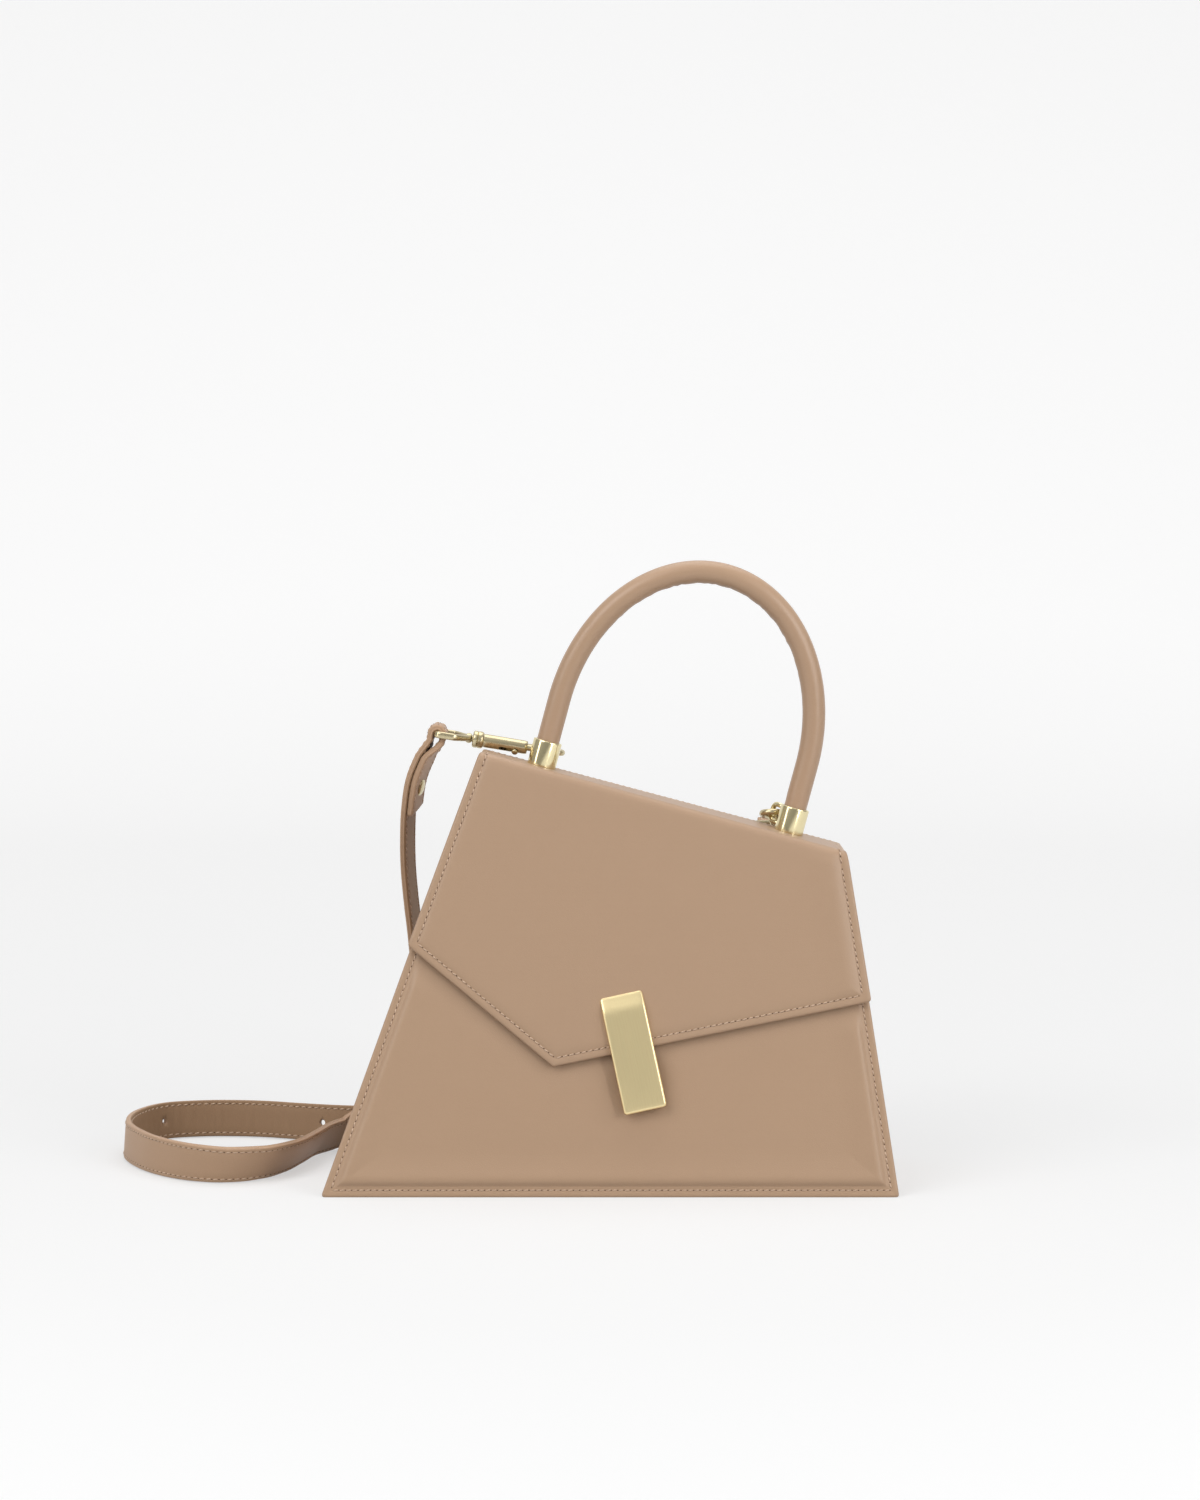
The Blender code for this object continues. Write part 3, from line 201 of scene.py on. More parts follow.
def two_shades(tree, share, colour, other):
    """One colour passing into another as a share goes from 0 to 1."""
    tint = tree.nodes.new("ShaderNodeMix")
    tint.data_type = "RGBA"
    for label, value in (("Factor", share), ("A", colour), ("B", other)):
        tree.links.new(value, tint.inputs[label])
    return tint.outputs["Result"]


def treated(name, group, values, strength, lift):
    """A material whose colour, roughness and relief come from a shared effect."""
    look, tree, shader = new_look(name)
    shared, bump = tree.nodes.new("ShaderNodeGroup"), tree.nodes.new("ShaderNodeBump")
    shared.node_tree = group
    for label, value in values:
        shared.inputs[label].default_value = value
    tree.links.new(shared.outputs["Colour"], shader["Base Color"])
    if "Roughness" in shared.outputs:
        tree.links.new(shared.outputs["Roughness"], shader["Roughness"])
    bump.inputs["Strength"].default_value = strength
    bump.inputs["Distance"].default_value = lift
    tree.links.new(shared.outputs["Height"], bump.inputs["Height"])
    tree.links.new(bump.outputs["Normal"], shader["Normal"])
    return look, shader


# Leather: round pebbles parted by creases over a fine tooth, in two shades that drift like clouds.
leather_grain, given, result, place = effect(
    "leather_grain",
    (("Colour", (0.5, 0.35, 0.24, 1)), ("Deep Colour", (0.4, 0.27, 0.18, 1)), ("Pebble Size", 0.0009),
     ("Pebble Depth", 1.0), ("Mottle", 0.25), ("Roughness", 0.5)),
    ("Colour", "Roughness", "Height"))
pebbles = texture(leather_grain, "Voronoi", place, Randomness=0.9,
                  Scale=maths(leather_grain, "DIVIDE", 1.0, given["Pebble Size"]))
pebbles.feature = "DISTANCE_TO_EDGE"
crease = stretched(leather_grain, pebbles.outputs["Distance"], from_max=0.28)
crease.node.interpolation_type = "SMOOTHSTEP"
fine = texture(leather_grain, "Noise", place, Scale=2600.0, Detail=3.0).outputs["Fac"]
cloud = texture(leather_grain, "Noise", place, Scale=26.0, Detail=4.0, Roughness=0.6).outputs["Fac"]
share = maths(leather_grain, "ADD", maths(leather_grain, "MULTIPLY", cloud, given["Mottle"]),
              maths(leather_grain, "MULTIPLY_ADD", crease, -0.16, 0.16))
share.node.use_clamp = True
feed(leather_grain, result["Colour"], two_shades(leather_grain, share, given["Colour"], given["Deep Colour"]))
feed(leather_grain, result["Roughness"], maths(leather_grain, "MULTIPLY_ADD", fine, 0.14, given["Roughness"]))
relief = maths(leather_grain, "MULTIPLY_ADD", fine, 0.35, crease)
feed(leather_grain, result["Height"], maths(leather_grain, "MULTIPLY", relief, given["Pebble Depth"]))


def leather(name, colour, deep, pebble, mottle, roughness, lift=0.00004, gloss=0.5):
    """A leather finish with its own colours, size of pebble and gloss."""
    look, shader = treated(name, leather_grain, (
        ("Colour", colour), ("Deep Colour", deep), ("Pebble Size", pebble), ("Pebble Depth", 0.8),
        ("Mottle", mottle), ("Roughness", roughness)), strength=0.55, lift=lift)
    shader["Specular IOR Level"].default_value = gloss
    return look


def mesh_piece(name, bm, look):
    """Close up a mesh as a named piece with one finish."""
    bmesh.ops.recalc_face_normals(bm, faces=bm.faces)
    mesh = bpy.data.meshes.new(name)
    bm.to_mesh(mesh)
    bm.free()
    for face in mesh.polygons:
        face.use_smooth = True
    mesh.materials.append(look)
    piece = bpy.data.objects.new(name, mesh)
    bpy.context.scene.collection.objects.link(piece)
    return piece


def skinned(name, rings, look, joined=False):
    """Skin matching rings of points, with both ends capped or joined to each other."""
    bm = bmesh.new()
    rows = [[bm.verts.new(p) for p in ring] for ring in rings]
    count = len(rings[0])
    pairs = list(zip(rows, rows[1:])) + ([(rows[-1], rows[0])] if joined else [])
    for low, high in pairs:
        for i in range(count):
            bm.faces.new((low[i], low[(i + 1) % count], high[(i + 1) % count], high[i]))
    if not joined:
        bm.faces.new(rows[0][::-1])
        bm.faces.new(rows[-1])
    return mesh_piece(name, bm, look)


def through(points, steps):
    """A smooth curve through points that may lie unevenly far apart."""
    points = [points[0] * 2 - points[1], *points, points[-1] * 2 - points[-2]]
    result = []
    for p0, p1, p2, p3 in zip(points, points[1:], points[2:], points[3:]):
        t1 = (p1 - p0).length ** 0.5
        t2 = t1 + (p2 - p1).length ** 0.5
        t3 = t2 + (p3 - p2).length ** 0.5
        for k in range(steps):
            t = t1 + (t2 - t1) * k / steps
            a = p0 * ((t1 - t) / t1) + p1 * (t / t1)
            b = p1 * ((t2 - t) / (t2 - t1)) + p2 * ((t - t1) / (t2 - t1))
            c = p2 * ((t3 - t) / (t3 - t2)) + p3 * ((t - t2) / (t3 - t2))
            low = a * ((t2 - t) / t2) + b * (t / t2)
            high = b * ((t3 - t) / (t3 - t1)) + c * ((t - t1) / (t3 - t1))
            result.append(low * ((t2 - t) / (t2 - t1)) + high * ((t - t1) / (t2 - t1)))
    return result + [points[-2].copy()]


def headings(points):
    """The way a line of points runs, at each of them."""
    last_one = len(points) - 1
    return [(points[min(i + 1, last_one)] - points[max(i - 1, 0)]).normalized() for i in range(len(points))]


def ease(value, low, high):
    """Nought below low, one above high, and a smooth climb between."""
    t = min(max((value - low) / (high - low), 0.0), 1.0)
    return t * t * (3 - 2 * t)


def cut_through(piece, tool):
    """Take a tool's shape out of a piece, and the tool away."""
    carve = piece.modifiers.new("cut", "BOOLEAN")
    carve.object, carve.operation, carve.solver = tool, "DIFFERENCE", "EXACT"
    carved = bpy.data.meshes.new_from_object(piece.evaluated_get(bpy.context.evaluated_depsgraph_get()))
    piece.modifiers.clear()
    piece.data = carved
    bpy.data.objects.remove(tool, do_unlink=True)


def plain(name, dark, light, scale, roughness):
    """A finish of two shades in a fine random mix."""
    look, tree, shader = new_look(name)
    mixed = texture(tree, "Noise", tree.nodes.new("ShaderNodeTexCoord").outputs["Object"], Scale=scale)
    tint = tree.nodes.new("ShaderNodeValToRGB")
    shades = tint.color_ramp.elements
    shades[0].position, shades[1].position = 0.35, 0.65
    shades[0].color, shades[1].color = dark, light
    tree.links.new(mixed.outputs["Fac"], tint.inputs["Fac"])
    tree.links.new(tint.outputs["Color"], shader["Base Color"])
    shader["Roughness"].default_value = roughness
    return look


thread = plain("waxed_thread", (0.50, 0.35, 0.235, 1), (0.70, 0.52, 0.38, 1), 2400.0, 0.5)
# The needle holes are not cut: each is a small dark plug on the leather, its dark colour painted shade for the
# inside of a hole.
needle_hole_painted_shade = plain("needle_hole_painted_shade", (0.085, 0.045, 0.026, 1), (0.16, 0.09, 0.055, 1), 1500.0, 0.8)
stitch_long, stitch_thick, stitch_sunk, stitch_slant = 0.0022, 0.00029, 0.3, 0.16
stitch_swell = ((-0.5, 0.35), (-0.32, 0.95), (0.0, 1.1), (0.32, 0.95), (0.5, 0.35))
needle_long, needle_wide, needle_levels = 0.00034, 0.00024, (-0.0001, 0.00004)


def sewn(name, runs, look, pitch=0.0029):
    """Rows of slanted stitches with a needle hole between each two, a small dark plug whose colour is painted
    shade: each run is a list of points with the way the leather faces there."""
    bm = bmesh.new()
    for run in runs:
        at, due = 0.0, pitch / 2
        for (a, face_a), (b, face_b) in zip(run, run[1:]):
            piece = (b - a).length
            if piece < 1e-9:
                continue
            way = (b - a) / piece
            while due <= at + piece:
                part = (due - at) / piece
                middle, out = a.lerp(b, part), face_a.lerp(face_b, part).normalized()
                side = out.cross(way).normalized()
                slanted = (way + side * stitch_slant).normalized()
                across = out.cross(slanted).normalized()
                rings = []
                for along, fat in stitch_swell:
                    lift = stitch_thick * (0.75 - 4 * along * along) * (1 - stitch_sunk)
                    wide, high = stitch_thick * 1.15 * fat, stitch_thick * fat
                    heart = middle + slanted * (along * stitch_long) + out * lift
                    rings.append([bm.verts.new(heart + across * (wide * math.cos(t))
                                               + out * (high * math.sin(t)))
                                  for t in (math.radians(60 * k) for k in range(6))])
                for low, high in zip(rings, rings[1:]):
                    for i in range(6):
                        bm.faces.new((low[i], low[(i + 1) % 6], high[(i + 1) % 6], high[i]))
                bm.faces.new(rings[0][::-1])
                bm.faces.new(rings[-1])
                # Then the needle hole: a dark plug in painted shade, in the second slot.
                heart = middle + way * (pitch / 2)
                low, high = [[bm.verts.new(heart + way * (needle_long * math.cos(t))
                                           + side * (needle_wide * math.sin(t)) + out * level)
                              for t in (math.radians(45 * k) for k in range(8))] for level in needle_levels]
                walls = [bm.faces.new((low[i], low[(i + 1) % 8], high[(i + 1) % 8], high[i]))
                         for i in range(8)]
                for face in (*walls, bm.faces.new(low[::-1]), bm.faces.new(high)):
                    face.material_index = 1
                due += pitch
            at += piece
    piece = mesh_piece(name, bm, look)
    piece.data.materials.append(needle_hole_painted_shade)
    return piece


strap_width, strap_thick, bar_thick, ply_gap, strap_twist = 0.0180, 0.0028, 0.0013, 0.0003, math.radians(12)
tail_length, punch_radius, punch_reach, punch_places = 0.040, 0.0015, 0.004, (-0.2223, -0.1422)
half_wide, half_thick, ply = strap_width / 2, strap_thick / 2, strap_thick + ply_gap
wrap = bar_thick + ply_gap + strap_thick / 2
# Where each hook begins, at the strap's fold, the way it runs and the way its bar lies.
hook_places = {}
for end, start, way, arm in (("left", (-0.08224, 0.01130, 0.20921), (0.98653, 0.0, -0.16357), (0, 1, 0)),
                             ("right", (0.08117, 0.06782, 0.15962), (0.0, -0.97907, 0.20355), (-1, 0, 0))):
    way, arm = Vector(way).normalized(), Vector(arm)
    up = way.cross(arm)
    hook_places[end] = (Vector(start), way, arm, up if up.z > 0 else -up)
# Each place on the strap's way, then how far its width has turned upright and how far it leans out.
strap_route = (
    (-0.0880, 0.0120, 0.1990, 0.0, 0.0), (-0.0925, 0.0145, 0.1880, 0.0, 0.0),
    (-0.0950, 0.0190, 0.1740, 0.0, 0.0), (-0.0960, 0.0245, 0.1580, 0.0, 0.0),
    (-0.0960, 0.0300, 0.1430, 0.0, 0.0), (-0.0950, 0.0355, 0.1270, 0.0, 0.0),
    (-0.0935, 0.0415, 0.1100, 0.05, 0.0), (-0.0925, 0.0480, 0.0920, 0.13, 0.0),
    (-0.0925, 0.0550, 0.0740, 0.25, 0.0), (-0.0945, 0.0615, 0.0560, 0.4, 0.0),
    (-0.1000, 0.0668, 0.0390, 0.58, 0.08), (-0.1088, 0.0698, 0.0243, 0.76, 0.22),
    (-0.1200, 0.0702, 0.0138, 0.92, 0.42), (-0.1315, 0.0655, 0.0092, 1.0, 0.55),
    (-0.1395, 0.0500, 0.0089, 1.0, 0.577), (-0.1445, 0.0290, 0.0089, 1.0, 0.577),
    (-0.1515, 0.0050, 0.0089, 1.0, 0.577), (-0.1625, -0.0120, 0.0091, 1.0, 0.51),
    (-0.1785, -0.0188, 0.0093, 1.0, 0.36), (-0.1943, -0.0143, 0.0095, 1.0, 0.17),
    (-0.2102, -0.0003, 0.0094, 1.0, 0.0), (-0.2232, 0.0188, 0.0095, 1.0, -0.08),
    (-0.2335, 0.0469, 0.0095, 1.0, -0.08), (-0.2325, 0.0760, 0.0094, 1.0, 0.0),
    (-0.2213, 0.0970, 0.0094, 1.0, 0.08), (-0.2046, 0.1036, 0.0094, 1.0, 0.12),
    (-0.1881, 0.1045, 0.0094, 1.0, 0.12), (-0.1712, 0.1018, 0.0094, 1.0, 0.12),
    (-0.1540, 0.0955, 0.0094, 1.0, 0.12), (-0.1290, 0.0885, 0.0094, 1.0, 0.1),
    (-0.0900, 0.0860, 0.0094, 1.0, 0.0), (-0.0500, 0.0850, 0.0095, 1.0, 0.0),
    (-0.0100, 0.0870, 0.0130, 0.97, 0.0), (0.0250, 0.0900, 0.0250, 0.85, 0.0),
    (0.0520, 0.0920, 0.0460, 0.62, 0.0), (0.0690, 0.0900, 0.0740, 0.35, 0.0),
    (0.0785, 0.0860, 0.1050, 0.1, 0.0), (0.0811, 0.0785, 0.1330, 0.0, 0.0),
)
left_start, left_way, left_arm, left_up = hook_places["left"]
right_start, right_way, right_arm, right_up = hook_places["right"]
left_bar, right_bar = left_start + left_way * bar_thick, right_start + right_way * bar_thick
first, last = left_bar - left_way * wrap, right_bar - right_way * wrap
points, across = [first, first - left_up * ply], [left_arm, left_arm]
twisted = left_arm * math.cos(strap_twist) + left_way * math.sin(strap_twist)
upright, route, left_part_ends = Vector((0, 0, 1)), [Vector(stop[:3]) for stop in strap_route], -0.0598
for i, (x, y, z, turned_up, leaning) in enumerate(strap_route):
    ahead = route[min(i + 1, len(route) - 1)] - route[max(i - 1, 0)]
    flat = twisted if x < left_part_ends else right_arm
    points.append(route[i])
    outward = upright.cross(ahead).normalized()
    across.append((flat * (1 - turned_up) + upright * turned_up + outward * leaning).normalized())
points += [last - right_up * ply * 2, last - right_up * ply, last]
across += [right_arm] * 3
run_steps = 14
free_run, run_across = through(points, run_steps), []
for a, b in zip(across, across[1:]):
    run_across += [(a * (1 - k / run_steps) + b * (k / run_steps)).normalized() for k in range(run_steps)]
run_across.append(across[-1])
run_ways = headings(free_run)
run_across = [(w - t * w.dot(t)).normalized() for w, t in zip(run_across, run_ways)]


def folded_end(hook_place, run, ways, widths):
    """The fold round a hook's bar, and the tail that lies back along the run."""
    start, way, arm, up = hook_place
    bar = start + way * bar_thick
    flip = 1 if ways[0].cross(widths[0]).dot(way) > 0 else -1
    fold = [(bar - way * (wrap * math.cos(a)) + up * (wrap * math.sin(a)), arm) for a in
            (math.pi * k / 12 for k in range(1, 12))]
    tail, gone = [], 0.0
    for i, p in enumerate(run):
        gone += (p - run[i - 1]).length if i else 0.0
        if gone > tail_length:
            break
        off = 2 * wrap + (ply - 2 * wrap) * ease(gone, 0.0, 4 * ply)
        tail.append((p + ways[i].cross(widths[i]).normalized() * flip * off, widths[i]))
    return fold, tail


back_ways = [-w for w in run_ways[::-1]]
fold_left, tail_left = folded_end(hook_places["left"], free_run, run_ways, run_across)
fold_right, tail_right = folded_end(hook_places["right"], free_run[::-1], back_ways, run_across[::-1])
whole_route = tail_left[::-1] + fold_left[::-1] + list(zip(free_run, run_across)) + fold_right + tail_right
whole_ways = headings([p for p, _ in whole_route])
# The strap's section, in shares of its half width and half thickness, dips where the thread runs.
outline = [(1, 0.10), (1, 0.55), (0.985, 0.85), (0.95, 1.0), (0.86, 1.04), (0.80, 0.93), (0.74, 1.04),
           (0.4, 1.07), (0, 1.08)]
outline += [(-u, v) for u, v in outline[-2::-1]]
outline = [(0.988, 0.0)] + outline + [(-0.988, 0.0)] + [(u, -v) for u, v in outline[::-1]]
section_height, thread_row, thread_level, crease_height, crease_wide = 0.96, 0.80, 0.93, 0.00013, 0.78
rings, rims, gone = [], {(side, row): [] for side in (1, -1) for row in (1, -1)}, 0.0
for i, ((p, w), t) in enumerate(zip(whole_route, whole_ways)):
    w = (w - t * w.dot(t)).normalized()
    n = t.cross(w)
    gone += (p - whole_route[i - 1][0]).length if i else 0.0
    pinched = ease(p.y, 0.06, 0.09) * ease(0.03 - p.z, 0.0, 0.01)
    ripple = math.sin(gone * 1450.0 + 2.2 * math.sin(gone * 240.0)) + 0.6 * math.sin(gone * 830.0)
    crease = crease_height * pinched * ripple
    ring = []
    for u, v in outline:
        slack = max(0.0, 1 - (u / crease_wide) ** 2) if v * n.y < 0 else 0.0
        creased = crease * slack * (1 + 0.4 * math.sin(u * 5.0 + gone * 500.0))
        ring.append(p + w * (half_wide * u) + n * (half_thick * section_height * v + creased))
    rings.append(ring)
    for side, row in rims:
        seam = p + w * (half_wide * thread_row * row) + n * (half_thick * thread_level * side)
        rims[side, row].append((seam, n * side))
strap_leather = leather("strap_leather", (0.540, 0.352, 0.226, 1), (0.420, 0.265, 0.162, 1),
                        pebble=0.0008, mottle=0.3, roughness=0.40, lift=0.00006, gloss=0.35)
# The backing's darker colours are painted shade for the strap's inner face, not a different leather.
painted_shade_backing = leather("strap_backing_painted_shade", (0.405, 0.255, 0.152, 1), (0.300, 0.182, 0.104, 1),
                        pebble=0.0008, mottle=0.4, roughness=0.46, lift=0.00006, gloss=0.2)
strap = skinned("shoulder_strap_sewn", rings, strap_leather)
strap.data.materials.append(painted_shade_backing)
# Faces on the backing's side take its darker finish, which is painted shade.
for face in strap.data.polygons[:(len(rings) - 1) * len(outline)]:
    here, after = outline[face.index % len(outline)], outline[(face.index + 1) % len(outline)]
    face.material_index = 1 if min(here[1], after[1]) > 0.5 else 0
punches = bmesh.new()
for hole_x in punch_places:
    i = min((k for k, p in enumerate(free_run) if p.y > 0.05), key=lambda k: abs(free_run[k].x - hole_x))
    square = run_ways[i].cross(run_across[i]).normalized()
    low, high = [[punches.verts.new(free_run[i] + square * far + run_ways[i] * (punch_radius * math.cos(a))
                                    + run_across[i] * (punch_radius * math.sin(a)))
                  for a in (2 * math.pi * k / 20 for k in range(20))] for far in (-punch_reach, punch_reach)]
    for k in range(20):
        punches.faces.new((low[k], low[(k + 1) % 20], high[(k + 1) % 20], high[k]))
    punches.faces.new(low[::-1])
    punches.faces.new(high)
cut_through(strap, mesh_piece("strap_punch", punches, strap_leather))
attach(strap, "bag")
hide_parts("shoulder_strap")
strap_stitches = sewn("strap_stitches", list(rims.values()), thread, pitch=0.0034)
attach(strap_stitches, "bag")


# The brass studs that hold the strap's folded ends: a short post through both layers, with a
# domed head on each side.

# Polished metal: soft smudges that dull it a little, and scuffs too fine to see one by one.
polished_metal, given, result, place = effect(
    "polished_metal",
    (("Colour", (0.8, 0.62, 0.36, 1)), ("Dull Colour", (0.6, 0.45, 0.25, 1)), ("Smudge Size", 0.012),
     ("Roughness", 0.2)),
    ("Colour", "Roughness", "Height"))
smudge = texture(polished_metal, "Noise", place, Detail=5.0,
                 Scale=maths(polished_metal, "DIVIDE", 1.0, given["Smudge Size"])).outputs["Fac"]
scuff = texture(polished_metal, "Noise", place, Scale=3500.0, Detail=2.0).outputs["Fac"]
dulled = maths(polished_metal, "MULTIPLY", smudge, 0.5)
feed(polished_metal, result["Colour"],
     two_shades(polished_metal, dulled, given["Colour"], given["Dull Colour"]))
feed(polished_metal, result["Roughness"],
     maths(polished_metal, "MULTIPLY_ADD", smudge, 0.12, given["Roughness"]))
feed(polished_metal, result["Height"], scuff)


def metal(name, colour, dull, smudge_size, roughness):
    """A metal finish with faint smudges and scuffs."""
    look, shader = treated(name, polished_metal, (
        ("Colour", colour), ("Dull Colour", dull), ("Smudge Size", smudge_size), ("Roughness", roughness)),
        strength=0.4, lift=0.000004)
    shader["Metallic"].default_value = 1.0
    return look


def loop(heart, a, b, radius, sides):
    """A circle of points in the plane of two directions."""
    return [heart + a * (radius * math.cos(t)) + b * (radius * math.sin(t)) for t in
            (2 * math.pi * k / sides for k in range(sides))]


def turned(name, start, way, profile, look, sides=40):
    """A piece turned on a lathe: a closed profile of (distance along, radius) points."""
    way = way.normalized()
    a = way.orthogonal().normalized()
    b = way.cross(a)
    bm = bmesh.new()
    rows = []
    for along, radius in profile:
        ring = [start + way * along] if radius == 0 else loop(start + way * along, a, b, radius, sides)
        rows.append([bm.verts.new(p) for p in ring])
    for low, high in zip(rows, rows[1:] + rows[:1]):
        for i in range(sides):
            j = (i + 1) % sides
            face = dict.fromkeys([low[i % len(low)], low[j % len(low)],
                                  high[j % len(high)], high[i % len(high)]])
            if len(face) > 2:
                bm.faces.new(list(face))
    return mesh_piece(name, bm, look)


def crisp(piece, degrees=35):
    """Keep hard corners hard while the rest shades smoothly."""
    bm = bmesh.new()
    bm.from_mesh(piece.data)
    for edge in bm.edges:
        if len(edge.link_faces) == 2 and edge.calc_face_angle(0) > math.radians(degrees):
            edge.smooth = False
    bm.to_mesh(piece.data)
    bm.free()
    return piece


hook_brass = metal("hook_brass", (0.66, 0.575, 0.375, 1), (0.50, 0.42, 0.24, 1), 0.010, 0.20)
stud_from_bar, stud_post = 0.027, 0.0015
stud_dome = [(0.0012, 0), (0.00115, 0.0012), (0.00098, 0.0023), (0.0007, 0.0032), (0.00035, 0.0038),
             (0, 0.0040)]
for end, run, ways, widths in (("left", free_run, run_ways, run_across),
                               ("right", free_run[::-1], back_ways, run_across[::-1])):
    gone = 0.0
    for i in range(1, len(run)):
        gone += (run[i] - run[i - 1]).length
        if gone > stud_from_bar:
            break
    out = ways[i].cross(widths[i]).normalized()
    out = out if out.dot(hook_places[end][1]) > 0 else -out
    low, high = -(half_thick + ply_gap), ply + half_thick + ply_gap
    profile = [(low - h, r) for h, r in stud_dome] + [(low, stud_post), (high, stud_post)]
    profile += [(high + h, r) for h, r in stud_dome[::-1]]
    stud = crisp(turned("strap_stud_" + end + "_head", run[i], out, profile, hook_brass))
    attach(stud, "bag")
    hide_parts("strap_stud_" + end)


# The two snap hooks, cast and turned brass: a D-shaped eye for the strap whose post turns in the
# collar, a barrel with a thumb slot, a curved arm, and a plunger with a thumb knob. A steel coil in
# the barrel pushes the plunger shut.

def rod(name, points, radius, look, sides, ends=0.0):
    """A round bar along a path; its ends may be rounded off."""
    ways = headings(points)
    side = ways[0].orthogonal().normalized()
    frames = []
    for way in ways:
        side = (side - way * side.dot(way)).normalized()
        frames.append((side.copy(), way.cross(side)))
    rings = [loop(p, *f, radius, sides) for p, f in zip(points, frames)]

    def rounded(end, inwards, degrees):
        """The rings that round off one end."""
        return [loop(points[end] + inwards * (ends * (1 - math.cos(a)) - ends), *frames[end],
                     radius * max(math.sin(a), 0.05), sides) for a in map(math.radians, degrees)]

    if ends:
        rings = rounded(0, ways[0], (5, 30, 60)) + rings + rounded(-1, -ways[-1], (60, 30, 5))
    return skinned(name, rings, look)


hook_pieces = []
spring_steel = metal("spring_steel", (0.55, 0.55, 0.56, 1), (0.40, 0.40, 0.41, 1), 0.004, 0.28)
eye_corners = [(0.0013, -0.0108), (0.0095, -0.0108), (0.0162, -0.0030), (0.0162, 0.0030), (0.0095, 0.0108),
               (0.0013, 0.0108)]
eye_bend, eye_tight_bend, eye_half_thick, eye_half_wide = 0.0022, 0.0012, 0.0014, 0.0013
post_profile = [
    (0.0150, 0), (0.0150, 0.0021), (0.0162, 0.0024), (0.0172, 0.0021), (0.0176, 0.0015), (0.0200, 0.0015),
    (0.0200, 0.0022), (0.0215, 0.0022), (0.0215, 0)]
barrel_profile = [
    (0.0180, 0.0018), (0.0180, 0.0034), (0.0183, 0.0038), (0.0187, 0.0040), (0.0200, 0.0040), (0.0203, 0.0037),
    (0.0206, 0.0040), (0.0222, 0.0040), (0.0227, 0.0038), (0.0230, 0.0034), (0.0233, 0.0031), (0.0245, 0.0032),
    (0.0425, 0.0032), (0.0436, 0.0031), (0.0440, 0.0028), (0.0440, 0.0018), (0.0240, 0.0018), (0.0240, 0),
    (0.0220, 0), (0.0220, 0.0026), (0.0195, 0.0026), (0.0195, 0.0018)]
slot_section = ((0.0007, -0.0010), (0.006, -0.0010), (0.006, 0.0010), (0.0007, 0.0010))
slot_ends, arm_radius, arm_curl = (0.0310, 0.0395), 0.0015, 0.0045
arm_line = [(0.0350, 0.0036), (0.0387, 0.0036), (0.0410, 0.0042), (0.0470, 0.00785), (0.0524, 0.0090)]
arm_line += [(0.0560 + arm_curl * math.sin(a), arm_curl + arm_curl * math.cos(a))
             for a in (math.pi * k / 10 for k in range(11))]
arm_line.append((0.0550, 0.0))
plunger_stations, plunger_radius, knob_at = (0.0345, 0.0400, 0.0450, 0.0500, 0.0541), 0.0015, 0.0385
knob_profile = [
    (0, 0), (0, 0.0007), (0.0036, 0.0007), (0.0035, 0.0014), (0.0036, 0.0015), (0.0042, 0.0015), (0.0045, 0.0013),
    (0.0046, 0.0009), (0.0046, 0)]
spring_low, spring_high, spring_turns, gate_travel = 0.0244, 0.0337, 6, 0.006
spring_radius, spring_wire, spring_steps = 0.0013, 0.0002, 120
